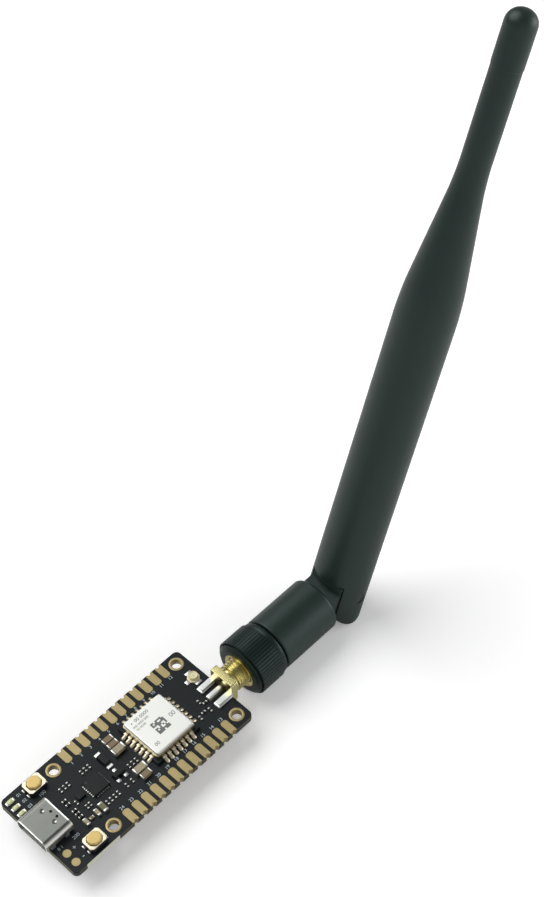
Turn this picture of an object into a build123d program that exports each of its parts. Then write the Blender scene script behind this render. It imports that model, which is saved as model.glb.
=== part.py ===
from build123d import *
import os
from math import cos, pi, radians, sin

os.makedirs("parts", exist_ok=True)

# Long-range radio board with an edge-mounted coaxial jack and a jointed whip antenna.
# Millimetres, +Z up. The origin is the centre of the four mounting holes, on the
# underside of the board. The board runs along X and the jack points along +X.

# Board, sized by what it carries
board_thickness = 1.6
board_corner_radius = 1.2
jack_end_margin = 2.5
socket_end_margin = 12.5
hole_edge_inset = 2.5
mounting_hole_radius = 1.1
ring_radius = 1.65
copper = 0.04

# Edge pads, one row along each long side
pads_per_side = 12
pad_pitch = 2.54
pad_width = 1.7
pad_depth = 3.5
pad_gap = 0.73
pad_row_shift = 0.25
castellation_radius = 0.55
castellation_plating = 0.14

# Battery pads at the socket end
battery_pad_inset = 1.9
battery_pad_edge_room = 2.05
battery_pad_spacing = 2.65
battery_pad_radius = 0.9

# Reversible data socket
socket_overhang = 0.9
socket_length = 7.2
socket_width = 8.94
socket_height = 3.2
socket_corner_radius = 1.28
socket_wall = 0.31
socket_centre_y = 0.25
socket_block_depth = 2.0
socket_tongue_margin = 0.86
socket_tongue_thickness = 0.7
socket_tongue_recess = 0.8
socket_leg_length = 1.1
socket_leg_inset = 1.2
contacts_per_side = 12
contact_pitch = 0.5
contact_width = 0.26
contact_length = 3.2
contact_thickness = 0.06

# Push switches
switch_inset = 7.4
switch_edge_inset = 2.5
switch_end_rim = 0.55
switch_side_rim = 0.25
switch_base_height = 1.25
switch_corner_cut = 0.5
switch_frame_thickness = 0.2
switch_terminal_reach = 0.3
switch_terminal_width = 0.85
switch_terminal_thickness = 0.15
plunger_length = 3.1
plunger_depth = 2.7
plunger_corner_cut = 0.85
plunger_edge_chamfer = 0.15
plunger_clearance = 0.1
plunger_proud = 0.65
plunger_travel = 0.25
dome_radius = 1.15
dome_thickness = 0.05
pocket_floor_height = 0.45

# Indicator lamps
lamp_count = 3
lamp_inset = 1.6
lamp_edge_room = 3.45
lamp_pitch = 1.8
lamp_length = 2.1
lamp_width = 0.85
lamp_height = 0.55
lamp_terminal = 0.4
lamp_base_thickness = 0.2

# Radio module
radio_end_room = 10.12
module_y = 0.17
module_size = 12.0
module_thickness = 0.8
module_pads_per_side = 7
module_pitch = 1.27
module_pad_width = 0.84
module_pad_depth = 0.6
module_notch_radius = 0.32
module_land_reach = 1.1
module_land_inset = 0.6
shield_margin = 0.65
shield_height = 1.7
shield_wall = 0.2
shield_corner_radius = 0.55
shield_edge_chamfer = 0.2
radio_chip_size = 4.0
radio_chip_height = 0.9
crystal_length = 2.5
crystal_width = 2.0
crystal_height = 0.8
crystal_gap = 1.4
crystal_wall_gap = 0.75

# Ceramic capacitors in a column beside the module
column_gap = 0.53
column_shift = 0.4
light_length = 3.1
light_width = 1.5
light_height = 1.3
light_terminal = 0.45
brown_length = 2.5
brown_width = 1.25
brown_height = 1.1
brown_terminal = 0.32
brown_top_y = 5.8
brown_second_y = 4.3
brown_bottom_y = -5.6
light_upper_y = 2.6
light_lower_y = -3.85
column_trio_y = -1.6

# Three-legged regulator with the diode above it
regulator_gap = 0.7
regulator_y = -1.35
regulator_length = 2.9
regulator_width = 1.3
regulator_height = 1.05
regulator_leg_spacing = 1.9
regulator_leg_width = 0.9
regulator_leg_reach = 0.95
regulator_leg_thickness = 0.3
diode_gap = 0.6
diode_body_length = 2.8
diode_body_width = 1.7
diode_body_height = 1.15
diode_terminal_width = 1.45
diode_terminal_reach = 0.85
diode_terminal_thickness = 0.3
body_draft = 6

# Data bridge chip
bridge_gap = 1.35
bridge_y = 0.2
bridge_size = 4.0
bridge_height = 0.85
bridge_lands_per_side = 7
bridge_land_pitch = 0.5
bridge_land_width = 0.28
bridge_land_reach = 0.3

# Small protection chip between the bridge chip and the data socket
guard_gap = 0.95
guard_y = 0.6
guard_length = 1.9
guard_width = 1.3
guard_height = 0.6
socket_room = 6.0

# Chip resistors, all one size, and where their groups stand
resistor_length = 1.05
resistor_width = 0.5
resistor_height = 0.38
resistor_terminal = 0.24
resistor_pitch = 1.0
upper_trio_y = 4.35
left_trio_shift = 0.95
right_trio_shift = 0.8
lower_row_y = -4.5
lower_row_shift = 0.35
lower_row_count = 4
lower_pair_pitch = 1.5
lower_pair_shift = 0.15
guard_pair_y = -2.2
guard_pair_shift = 0.3
guard_pair_pitch = 0.8
guard_feed_shift = 1.6
guard_feed_y = 0.0
socket_group_shift = 3.1
socket_group_top_y = 2.1
socket_group_upper_y = 0.95
socket_group_middle_y = -0.95
socket_group_low_y = -1.9
socket_group_base_y = -2.9

# Small capacitors and the chip inductor by the lower switch
small_light_length = 1.7
small_light_width = 0.85
small_light_height = 0.75
small_light_terminal = 0.35
small_row_y = -4.7
small_light_left_shift = 3.2
small_light_right_shift = 0.25
small_brown_shift = 1.75
small_brown_length = 1.05
small_brown_width = 0.6
small_brown_height = 0.5
inductor_shift = 1.3
inductor_length = 2.3
inductor_width = 1.15
inductor_height = 0.9
inductor_terminal = 0.45

# Radio filter and matching parts, measured back from the jack end
filter_inset = 6.9
filter_half_spacing = 1.4
filter_shunt_y = -4.2
filter_series_y = -3.65
match_series_inset = 5.05
match_series_y = -2.2
match_shunt_inset = 5.9
match_shunt_y = -1.25

# Snap-on coaxial receptacle
receptacle_inset = 2.4
receptacle_gap = 0.425
receptacle_size = 2.6
receptacle_corner_cut = 0.7
receptacle_base_height = 0.35
receptacle_ring_radius = 1.0
receptacle_ring_wall = 0.2
receptacle_height = 1.2
receptacle_tab_reach = 0.6
receptacle_tab_width = 1.6
receptacle_pin_radius = 0.25
receptacle_land_length = 0.9
receptacle_land_width = 1.0

# Edge-mounted coaxial jack
axis_y = -2.05
contact_tail_radius = 0.38
contact_tail_length = 4.0
jack_flange_size = 6.35
jack_flange_thickness = 1.7
jack_leg_width = 1.27
jack_leg_height = 1.0
jack_leg_length = 3.7
jack_barrel_radius = 3.12
jack_barrel_length = 9.5
jack_barrel_wall = 0.82
jack_mouth_depth = 1.9
jack_mouth_step = 0.25
jack_lead_chamfer = 0.25
jack_contact_radius = 0.64
jack_contact_bore = 0.5
jack_contact_depth = 3.0
solder_reach = 0.5
solder_height = 0.75
solder_slope = 58

# Running play between turning pieces
running_clearance = 0.08

# Coupling nut: a knurled sleeve over a threaded insert
nut_stand_off = 3.5
nut_crest_radius = 6.5
nut_face_drop = 1.1
nut_band_drop = 0.1
nut_front_lip = 0.6
nut_groove_width = 0.3
nut_groove_depth = 0.35
nut_rear_band = 1.3
nut_wall = 2.1
nut_to_barrel_gap = 0.3
knurl_count = 60
knurl_depth = 0.22
insert_wall = 0.9
insert_bore_chamfer = 0.35

# Antenna plug that the nut and the swivel base turn on
plug_tube_wall = 0.27
plug_neck_step = 0.38
plug_head_step = 0.5
plug_head_length = 1.4
plug_pin_play = 0.04
plug_pin_reach = 2.6
retainer_inset = 0.6
retainer_width = 0.5
retainer_step = 0.38
retainer_play = 0.06
retainer_groove_depth = 0.25

# Swivel base
base_front_gap = 0.4
base_radius = 6.35
base_barrel_length = 15.2
base_front_wall = 2.3
base_rear_wall = 2.2
base_cavity_room = 0.8
base_shoulder_chamfer = 0.8
base_front_chamfer = 0.35
swivel_washer_thickness = 0.25

# Tilt hinge
pin_radius = 1.25
pin_clearance = 0.05
pin_recess = 0.18
ear_overhang = 0.57
shoulder_clearance = 0.3
tongue_inset = 0.25
tongue_relief = 0.05
tongue_half_width = 4.15
slot_side_gap = 0.25
slot_end_gap = 0.5
hinge_washer_radius = 3.0
hinge_washer_thickness = 0.2
rest_tilt_deg = 70.2

# Whip, measured along its own length from the hinge pin
whip_radius = 6.43
whip_shoulder_run = 8.5
whip_shoulder_drop = 0.45
whip_slope_run = 20.0
whip_foot_rise = 0.45
whip_foot_run = 7.5
whip_thin_radius = 3.1
whip_thin_length = 19.6
whip_floor_thickness = 2.4
whip_wall = 1.5
whip_thin_wall = 1.2
radiator_radius = 2.4
radiator_wall = 0.4
radiator_length = 75.0
radiator_taper_reach = 14.5
feed_wire_radius = 0.9
feed_wire_gap = 0.6
tip_length = 11.1
tip_edge_radius = 2.3
tip_step = 0.1
tip_spigot_length = 6.0
tip_spigot_clearance = 0.03

# Positions along the board, counted back from the jack end
column_back = radio_end_room + module_size + module_land_reach + column_gap + light_length / 2
regulator_back = column_back + light_length / 2 + regulator_gap + regulator_length / 2
bridge_back = regulator_back + regulator_length / 2 + bridge_gap + bridge_size / 2
guard_back = bridge_back + bridge_size / 2 + guard_gap + guard_length / 2
board_length = guard_back + socket_room + socket_length - socket_overhang
hole_spacing_x = board_length - jack_end_margin - socket_end_margin
board_end_x = hole_spacing_x / 2 + jack_end_margin
board_start_x = board_end_x - board_length
board_centre_x = board_end_x - board_length / 2
module_x = board_end_x - radio_end_room - module_size / 2
column_x = board_end_x - column_back
regulator_x = board_end_x - regulator_back
bridge_x = board_end_x - bridge_back
guard_x = board_end_x - guard_back
socket_front_x = board_start_x - socket_overhang
switch_x = board_start_x + switch_inset
lamp_x = board_start_x + lamp_inset
battery_pad_x = board_start_x + battery_pad_inset
receptacle_x = board_end_x - receptacle_inset
contact_tail_start_x = board_end_x - contact_tail_length

# Positions across the board
pad_inner_y = module_size / 2 + module_y + module_land_reach + pad_gap
board_width = 2 * (pad_inner_y + pad_depth)
hole_spacing_y = board_width - 2 * hole_edge_inset
switch_y = board_width / 2 - switch_edge_inset
lamp_middle_y = board_width / 2 - lamp_edge_room
battery_pad_lower_y = battery_pad_edge_room - board_width / 2
battery_pad_upper_y = battery_pad_lower_y + battery_pad_spacing
diode_y = (
    regulator_y + regulator_width / 2 + regulator_leg_reach + diode_gap + diode_terminal_reach + diode_body_length / 2
)
receptacle_y = (
    axis_y + jack_flange_size / 2 + solder_reach + receptacle_gap + receptacle_tab_reach + receptacle_size / 2
)

# Heights
board_top = board_thickness
land_top = board_top + copper
axis_z = land_top + contact_tail_radius
plunger_top_height = switch_base_height + switch_frame_thickness + plunger_proud
plunger_seat_height = pocket_floor_height + dome_thickness + plunger_travel
switch_length = plunger_length + 2 * (plunger_clearance + switch_end_rim)
switch_depth = plunger_depth + 2 * (plunger_clearance + switch_side_rim)

# Room inside the can, from its wall inwards: crystal, gap, chip
shield_size = module_size - 2 * shield_margin
shield_room = shield_size - 2 * shield_wall
radio_chip_shift = crystal_wall_gap + crystal_width + crystal_gap + radio_chip_size / 2 - shield_room / 2

# Turning pieces along the jack's axis
barrel_start_x = board_end_x + jack_flange_thickness
barrel_end_x = barrel_start_x + jack_barrel_length
mating_x = barrel_end_x - jack_mouth_depth
jack_mouth_radius = jack_barrel_radius - jack_barrel_wall
jack_insulator_radius = jack_mouth_radius - jack_mouth_step
nut_front_x = barrel_start_x + nut_stand_off
nut_wall_x = barrel_end_x + nut_to_barrel_gap
nut_rear_x = nut_wall_x + nut_wall
nut_face_radius = nut_crest_radius - nut_face_drop
nut_band_radius = nut_crest_radius - nut_band_drop
insert_bore = jack_barrel_radius + running_clearance
insert_radius = insert_bore + insert_wall
knurl_start_x = nut_front_x + nut_front_lip + nut_groove_width
knurl_end_x = nut_rear_x - nut_rear_band
plug_spigot_radius = jack_mouth_radius - running_clearance
plug_bore = plug_spigot_radius - plug_tube_wall
plug_neck_radius = plug_spigot_radius + plug_neck_step
plug_head_radius = plug_neck_radius + plug_head_step
plug_pin_radius = jack_contact_bore - plug_pin_play
retainer_slot_x = nut_wall_x + retainer_inset
retainer_radius = plug_neck_radius + retainer_step
retainer_neck_radius = plug_neck_radius - retainer_groove_depth
base_front_x = nut_rear_x + base_front_gap
base_wall_x = base_front_x + base_front_wall
base_cavity_radius = plug_head_radius + base_cavity_room
shoulder_x = base_front_x + base_barrel_length
base_cavity_end_x = shoulder_x - base_rear_wall
tongue_root_x = shoulder_x - base_rear_wall / 2
plug_head_x = base_wall_x + running_clearance + swivel_washer_thickness
plug_end_x = plug_head_x + plug_head_length
leg_spacing = jack_flange_size - jack_leg_width

# Hinge and whip
ear_end_radius = whip_radius + ear_overhang
pin_x = shoulder_x + shoulder_clearance + ear_end_radius
tongue_end_radius = base_radius - tongue_inset
slot_half_width = tongue_half_width + slot_side_gap
slot_depth = tongue_end_radius + slot_end_gap
whip_floor = slot_depth + whip_floor_thickness
radiator_end = whip_floor + radiator_length
whip_straight_end = radiator_end - radiator_taper_reach
whip_taper_first = whip_straight_end + whip_shoulder_run
whip_taper_second = whip_taper_first + whip_slope_run
whip_taper_end = whip_taper_second + whip_foot_run
whip_end = whip_taper_end + whip_thin_length
whip_tip_bore = whip_thin_radius - whip_thin_wall
feed_wire_end = whip_end - tip_spigot_length - feed_wire_gap
tip_end = whip_end + tip_length
tip_radius = whip_thin_radius + tip_step

# Working planes and axes
top_plane = Plane.XY.offset(board_top)
land_plane = Plane.XY.offset(land_top)
jack_axis = Axis((0, axis_y, axis_z), (1, 0, 0))
jack_side = Plane(origin=(0, axis_y, axis_z), x_dir=(1, 0, 0), z_dir=(0, -1, 0))
hinge_side = Plane(origin=(pin_x, axis_y, axis_z), x_dir=(1, 0, 0), z_dir=(0, -1, 0))
whip_run = (cos(radians(rest_tilt_deg)), 0, sin(radians(rest_tilt_deg)))
whip_axis = Axis((pin_x, axis_y, axis_z), whip_run)
whip_side = Plane(origin=(pin_x, axis_y, axis_z), x_dir=whip_run, z_dir=(0, -1, 0))
whip_section = Plane(origin=(pin_x, axis_y, axis_z), x_dir=(0, 1, 0), z_dir=whip_run)

# Board: black laminate with plated holes and half holes along both long edges
with BuildPart() as circuit_board:
    with BuildSketch(Plane.XY):
        with Locations((board_centre_x, 0)):
            RectangleRounded(board_length, board_width, board_corner_radius)
        with GridLocations(hole_spacing_x, hole_spacing_y, 2, 2):
            Circle(ring_radius, mode=Mode.SUBTRACT)
        with Locations((pad_row_shift, 0)):
            with GridLocations(pad_pitch, board_width, pads_per_side, 2):
                RegularPolygon(castellation_radius, 6, mode=Mode.SUBTRACT)
    extrude(amount=board_thickness)
circuit_board.part.label = "circuit_board"
export_step(circuit_board.part, "parts/circuit_board.step")

# Edge pads: plated half holes with a gold land on both faces of the board
with BuildPart() as edge_pads:
    with BuildSketch(Plane.XY.offset(-copper)):
        with Locations((pad_row_shift, 0)):
            with GridLocations(pad_pitch, board_width - pad_depth, pads_per_side, 2):
                Rectangle(pad_width, pad_depth)
    extrude(amount=board_thickness + 2 * copper)
    with BuildSketch(Plane.XY):
        with Locations((pad_row_shift, 0)):
            with GridLocations(pad_pitch, board_width - pad_depth, pads_per_side, 2):
                Rectangle(pad_width, pad_depth)
            with GridLocations(pad_pitch, board_width, pads_per_side, 2):
                RegularPolygon(castellation_radius, 6, mode=Mode.SUBTRACT)
    extrude(amount=board_thickness, mode=Mode.SUBTRACT)
    with BuildSketch(Plane.XY.offset(-copper)):
        with Locations((pad_row_shift, 0)):
            with GridLocations(pad_pitch, board_width, pads_per_side, 2):
                RegularPolygon(castellation_radius - castellation_plating, 6)
    extrude(amount=board_thickness + 2 * copper, mode=Mode.SUBTRACT)
edge_pads.part.label = "edge_pads"
export_step(edge_pads.part, "parts/edge_pads.step")

# Plated rings of the mounting holes
with BuildPart() as hole_rings:
    with BuildSketch(Plane.XY.offset(-copper)):
        with GridLocations(hole_spacing_x, hole_spacing_y, 2, 2):
            Circle(ring_radius)
            Circle(mounting_hole_radius, mode=Mode.SUBTRACT)
    extrude(amount=board_thickness + 2 * copper)
hole_rings.part.label = "hole_rings"
export_step(hole_rings.part, "parts/hole_rings.step")

# Round gold pads for the battery leads
with BuildPart() as battery_pads:
    with BuildSketch(top_plane):
        with Locations((battery_pad_x, battery_pad_upper_y), (battery_pad_x, battery_pad_lower_y)):
            Circle(battery_pad_radius)
    extrude(amount=copper)
battery_pads.part.label = "battery_pads"
export_step(battery_pads.part, "parts/battery_pads.step")

# Data socket: folded sheet shell, open at the front, on four short side legs
socket_centre_x = socket_front_x + socket_length / 2
socket_middle_z = board_top + socket_height / 2
socket_face = Plane(origin=(socket_front_x, socket_centre_y, socket_middle_z), x_dir=(0, 1, 0), z_dir=(1, 0, 0))
with BuildPart() as socket_shell:
    with BuildSketch(socket_face):
        RectangleRounded(socket_width, socket_height, socket_corner_radius)
        RectangleRounded(
            socket_width - 2 * socket_wall,
            socket_height - 2 * socket_wall,
            socket_corner_radius - socket_wall,
            mode=Mode.SUBTRACT,
        )
    extrude(amount=socket_length)
    with BuildSketch(top_plane):
        with Locations((socket_centre_x, socket_centre_y)):
            with GridLocations(
                socket_length - 2 * socket_leg_inset - socket_leg_length,
                socket_width - socket_wall,
                2,
                2,
            ):
                Rectangle(socket_leg_length, socket_wall)
    extrude(amount=socket_height / 2)
socket_shell.part.label = "socket_shell"
export_step(socket_shell.part, "parts/socket_shell.step")

# Moulded block and tongue inside the data socket
block_face = Plane(
    origin=(socket_front_x + socket_length - socket_block_depth, socket_centre_y, socket_middle_z),
    x_dir=(0, 1, 0),
    z_dir=(1, 0, 0),
)
tongue_face = Plane(
    origin=(socket_front_x + socket_tongue_recess, socket_centre_y, socket_middle_z),
    x_dir=(0, 1, 0),
    z_dir=(1, 0, 0),
)
with BuildPart() as socket_block:
    with BuildSketch(block_face):
        RectangleRounded(
            socket_width - 2 * socket_wall,
            socket_height - 2 * socket_wall,
            socket_corner_radius - socket_wall,
        )
    extrude(amount=socket_block_depth)
    with BuildSketch(tongue_face):
        Rectangle(socket_width - 2 * (socket_wall + socket_tongue_margin), socket_tongue_thickness)
    extrude(amount=socket_length - socket_tongue_recess - socket_block_depth)
socket_block.part.label = "socket_block"
export_step(socket_block.part, "parts/socket_block.step")

# Gold contact strips on both faces of the tongue
with BuildPart() as socket_contacts:
    with BuildSketch(Plane.XY.offset(socket_middle_z + socket_tongue_thickness / 2)):
        with Locations((socket_front_x + 2 * socket_tongue_recess + contact_length / 2, socket_centre_y)):
            with GridLocations(1, contact_pitch, 1, contacts_per_side):
                Rectangle(contact_length, contact_width)
    extrude(amount=contact_thickness)
    with BuildSketch(Plane.XY.offset(socket_middle_z - socket_tongue_thickness / 2)):
        with Locations((socket_front_x + 2 * socket_tongue_recess + contact_length / 2, socket_centre_y)):
            with GridLocations(1, contact_pitch, 1, contacts_per_side):
                Rectangle(contact_length, contact_width)
    extrude(amount=-contact_thickness)
socket_contacts.part.label = "socket_contacts"
export_step(socket_contacts.part, "parts/socket_contacts.step")

# Switch bases: black blocks with an eight-sided well for the plunger
with BuildPart() as switch_bases:
    with BuildSketch(top_plane):
        with Locations((switch_x, switch_y), (switch_x, -switch_y)):
            Rectangle(switch_length, switch_depth)
        chamfer(vertices(), length=switch_corner_cut)
    extrude(amount=switch_base_height)
    with BuildSketch(top_plane.offset(pocket_floor_height)):
        with Locations((switch_x, switch_y), (switch_x, -switch_y)):
            Rectangle(plunger_length + 2 * plunger_clearance, plunger_depth + 2 * plunger_clearance)
        chamfer(vertices(), length=plunger_corner_cut)
    extrude(amount=switch_base_height, mode=Mode.SUBTRACT)
switch_bases.part.label = "switch_bases"
export_step(switch_bases.part, "parts/switch_bases.step")

# Bright cover plates on the switch bases
with BuildPart() as switch_covers:
    with BuildSketch(top_plane.offset(switch_base_height)):
        with Locations((switch_x, switch_y), (switch_x, -switch_y)):
            Rectangle(switch_length, switch_depth)
        chamfer(vertices(), length=switch_corner_cut)
    extrude(amount=switch_frame_thickness)
    with BuildSketch(top_plane.offset(switch_base_height)):
        with Locations((switch_x, switch_y), (switch_x, -switch_y)):
            Rectangle(plunger_length + 2 * plunger_clearance, plunger_depth + 2 * plunger_clearance)
        chamfer(vertices(), length=plunger_corner_cut)
    extrude(amount=switch_frame_thickness, mode=Mode.SUBTRACT)
switch_covers.part.label = "switch_covers"
export_step(switch_covers.part, "parts/switch_covers.step")

# Solder terminals at the switch corners
with BuildPart() as switch_terminals:
    with BuildSketch(top_plane):
        with Locations((switch_x, switch_y), (switch_x, -switch_y)):
            with GridLocations(
                switch_length + switch_terminal_reach,
                switch_depth - 2 * switch_corner_cut - switch_terminal_width,
                2,
                2,
            ):
                Rectangle(switch_terminal_reach, switch_terminal_width)
    extrude(amount=switch_terminal_thickness)
switch_terminals.part.label = "switch_terminals"
export_step(switch_terminals.part, "parts/switch_terminals.step")

# Snap domes in the wells
with BuildPart() as switch_domes:
    with BuildSketch(top_plane.offset(pocket_floor_height)):
        with Locations((switch_x, switch_y), (switch_x, -switch_y)):
            RegularPolygon(dome_radius, 8)
    extrude(amount=dome_thickness)
switch_domes.part.label = "switch_domes"
export_step(switch_domes.part, "parts/switch_domes.step")

# Plungers, each free to travel down onto its dome
with BuildPart() as reset_plunger:
    with BuildSketch(top_plane.offset(plunger_seat_height)):
        with Locations((switch_x, switch_y)):
            Rectangle(plunger_length, plunger_depth)
        chamfer(vertices(), length=plunger_corner_cut)
    extrude(amount=plunger_top_height - plunger_seat_height)
    chamfer(reset_plunger.faces().sort_by(Axis.Z)[-1].edges(), length=plunger_edge_chamfer)
reset_plunger.part.label = "reset_plunger"
export_step(reset_plunger.part, "parts/reset_plunger.step")

with BuildPart() as boot_plunger:
    with BuildSketch(top_plane.offset(plunger_seat_height)):
        with Locations((switch_x, -switch_y)):
            Rectangle(plunger_length, plunger_depth)
        chamfer(vertices(), length=plunger_corner_cut)
    extrude(amount=plunger_top_height - plunger_seat_height)
    chamfer(boot_plunger.faces().sort_by(Axis.Z)[-1].edges(), length=plunger_edge_chamfer)
boot_plunger.part.label = "boot_plunger"
export_step(boot_plunger.part, "parts/boot_plunger.step")

# Indicator lamps: white bases under clear lenses
lamp_body_length = lamp_length - 2 * lamp_terminal
with BuildPart() as lamp_bases:
    with BuildSketch(top_plane):
        with Locations((lamp_x, lamp_middle_y)):
            with GridLocations(1, lamp_pitch, 1, lamp_count):
                Rectangle(lamp_body_length, lamp_width)
    extrude(amount=lamp_base_thickness)
lamp_bases.part.label = "lamp_bases"
export_step(lamp_bases.part, "parts/lamp_bases.step")

with BuildPart() as lamp_lenses:
    with BuildSketch(top_plane.offset(lamp_base_thickness)):
        with Locations((lamp_x, lamp_middle_y)):
            with GridLocations(1, lamp_pitch, 1, lamp_count):
                Rectangle(lamp_body_length, lamp_width)
    extrude(amount=lamp_height - lamp_base_thickness)
lamp_lenses.part.label = "lamp_lenses"
export_step(lamp_lenses.part, "parts/lamp_lenses.step")

# Radio module: its own small board, notched for seven pads on every side
module_place = Location((module_x, module_y))
module_plane = land_plane.offset(module_thickness)
module_span = module_pitch * (module_pads_per_side - 1)
with BuildPart() as module_board:
    with BuildSketch(land_plane):
        with Locations(module_place):
            Rectangle(module_size, module_size)
            with GridLocations(module_pitch, module_size, module_pads_per_side, 2):
                RegularPolygon(module_notch_radius, 6, mode=Mode.SUBTRACT)
            with GridLocations(module_size, module_pitch, 2, module_pads_per_side):
                RegularPolygon(module_notch_radius, 6, mode=Mode.SUBTRACT)
    extrude(amount=module_thickness)
module_board.part.label = "module_board"
export_step(module_board.part, "parts/module_board.step")

# Module pads: a filled half notch and a land on the upper face
land_shift = module_size - module_pad_depth
with BuildPart() as module_pads:
    with BuildSketch(land_plane):
        with Locations(module_place):
            with GridLocations(module_pitch, module_size, module_pads_per_side, 2):
                RegularPolygon(module_notch_radius, 6)
            with GridLocations(module_size, module_pitch, 2, module_pads_per_side):
                RegularPolygon(module_notch_radius, 6)
            Rectangle(module_size, module_size, mode=Mode.INTERSECT)
    extrude(amount=module_thickness)
    with BuildSketch(module_plane):
        with Locations(module_place):
            with GridLocations(module_pitch, land_shift, module_pads_per_side, 2):
                Rectangle(module_pad_width, module_pad_depth)
            with GridLocations(land_shift, module_pitch, 2, module_pads_per_side):
                Rectangle(module_pad_depth, module_pad_width)
    extrude(amount=copper)
module_pads.part.label = "module_pads"
export_step(module_pads.part, "parts/module_pads.step")

# Soldered lands under the edge of the radio module
module_land_length = module_land_reach + module_land_inset
module_land_shift = module_size + module_land_reach - module_land_inset
with BuildPart() as module_lands:
    with BuildSketch(top_plane):
        with Locations(module_place):
            with GridLocations(module_pitch, module_land_shift, module_pads_per_side, 2):
                Rectangle(module_pad_width, module_land_length)
            with GridLocations(module_land_shift, module_pitch, 2, module_pads_per_side):
                Rectangle(module_land_length, module_pad_width)
    extrude(amount=copper)
module_lands.part.label = "module_lands"
export_step(module_lands.part, "parts/module_lands.step")

# Drawn metal can over the radio circuit
with BuildPart() as module_shield:
    with BuildSketch(module_plane):
        with Locations(module_place):
            RectangleRounded(shield_size, shield_size, shield_corner_radius)
    extrude(amount=shield_height)
    chamfer(module_shield.faces().sort_by(Axis.Z)[-1].edges(), length=shield_edge_chamfer)
    with BuildSketch(module_plane):
        with Locations(module_place):
            Rectangle(shield_room, shield_room)
        chamfer(vertices(), length=shield_corner_radius)
    extrude(amount=shield_height - shield_wall, mode=Mode.SUBTRACT)
module_shield.part.label = "module_shield"
export_step(module_shield.part, "parts/module_shield.step")

# Radio chip and crystal under the can
with BuildPart() as radio_chip:
    with BuildSketch(module_plane):
        with Locations((module_x - radio_chip_shift, module_y)):
            Rectangle(radio_chip_size, radio_chip_size)
    extrude(amount=radio_chip_height)
radio_chip.part.label = "radio_chip"
export_step(radio_chip.part, "parts/radio_chip.step")

crystal_x = module_x - radio_chip_shift + radio_chip_size / 2 + crystal_gap + crystal_width / 2
with BuildPart() as radio_crystal:
    with BuildSketch(module_plane):
        with Locations((crystal_x, module_y)):
            Rectangle(crystal_width, crystal_length)
    extrude(amount=crystal_height)
radio_crystal.part.label = "radio_crystal"
export_step(radio_crystal.part, "parts/radio_crystal.step")

# Data bridge chip and the soldered lands around it
with BuildPart() as bridge_chip:
    with BuildSketch(top_plane):
        with Locations((bridge_x, bridge_y)):
            Rectangle(bridge_size, bridge_size)
    extrude(amount=bridge_height)
bridge_chip.part.label = "bridge_chip"
export_step(bridge_chip.part, "parts/bridge_chip.step")

bridge_land_shift = bridge_size + bridge_land_reach
with BuildPart() as bridge_lands:
    with BuildSketch(top_plane):
        with Locations((bridge_x, bridge_y)):
            with GridLocations(bridge_land_pitch, bridge_land_shift, bridge_lands_per_side, 2):
                Rectangle(bridge_land_width, bridge_land_reach)
            with GridLocations(bridge_land_shift, bridge_land_pitch, 2, bridge_lands_per_side):
                Rectangle(bridge_land_reach, bridge_land_width)
    extrude(amount=2 * copper)
bridge_lands.part.label = "bridge_lands"
export_step(bridge_lands.part, "parts/bridge_lands.step")

# Small protection chip
with BuildPart() as guard_chip:
    with BuildSketch(top_plane):
        with Locations((guard_x, guard_y)):
            Rectangle(guard_length, guard_width)
    extrude(amount=guard_height)
guard_chip.part.label = "guard_chip"
export_step(guard_chip.part, "parts/guard_chip.step")

# Diode body and its two flat terminals
with BuildPart() as diode_body:
    with BuildSketch(top_plane):
        with Locations((regulator_x, diode_y)):
            Rectangle(diode_body_width, diode_body_length)
    extrude(amount=diode_body_height, taper=body_draft)
diode_body.part.label = "diode_body"
export_step(diode_body.part, "parts/diode_body.step")

with BuildPart() as diode_terminals:
    with BuildSketch(top_plane):
        with Locations((regulator_x, diode_y)):
            with GridLocations(1, diode_body_length + diode_terminal_reach, 1, 2):
                Rectangle(diode_terminal_width, diode_terminal_reach)
    extrude(amount=diode_terminal_thickness)
diode_terminals.part.label = "diode_terminals"
export_step(diode_terminals.part, "parts/diode_terminals.step")

# Regulator body with one leg above and two below
with BuildPart() as regulator_body:
    with BuildSketch(top_plane):
        with Locations((regulator_x, regulator_y)):
            Rectangle(regulator_length, regulator_width)
    extrude(amount=regulator_height, taper=body_draft)
regulator_body.part.label = "regulator_body"
export_step(regulator_body.part, "parts/regulator_body.step")

leg_shift_y = (regulator_width + regulator_leg_reach) / 2
with BuildPart() as regulator_legs:
    with BuildSketch(top_plane):
        with Locations((regulator_x, regulator_y + leg_shift_y)):
            Rectangle(regulator_leg_width, regulator_leg_reach)
        with Locations((regulator_x, regulator_y - leg_shift_y)):
            with GridLocations(regulator_leg_spacing, 1, 2, 1):
                Rectangle(regulator_leg_width, regulator_leg_reach)
    extrude(amount=regulator_leg_thickness)
regulator_legs.part.label = "regulator_legs"
export_step(regulator_legs.part, "parts/regulator_legs.step")

# Chip resistors: where they stand upright in the plan and where they lie across
upright_places = []
for trio_x in (guard_x - left_trio_shift, bridge_x + right_trio_shift):
    for step in (-1, 0, 1):
        upright_places.append((trio_x + step * resistor_pitch, upper_trio_y))
for step in range(lower_row_count):
    row_step = step - (lower_row_count - 1) / 2
    upright_places.append((bridge_x + lower_row_shift + row_step * resistor_pitch, lower_row_y))
for side in (-0.5, 0.5):
    upright_places.append((regulator_x + lower_pair_shift + side * lower_pair_pitch, lower_row_y))
    upright_places.append((guard_x - guard_pair_shift + side * guard_pair_pitch, guard_pair_y))
for step in (-1, 0, 1):
    upright_places.append((column_x + step * resistor_pitch, column_trio_y))
for side in (-1, 1):
    upright_places.append((board_end_x - filter_inset + side * filter_half_spacing, filter_shunt_y))
upright_places.append((guard_x - guard_feed_shift, guard_feed_y))
upright_places.append((board_end_x - match_shunt_inset, match_shunt_y))
across_places = []
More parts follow.
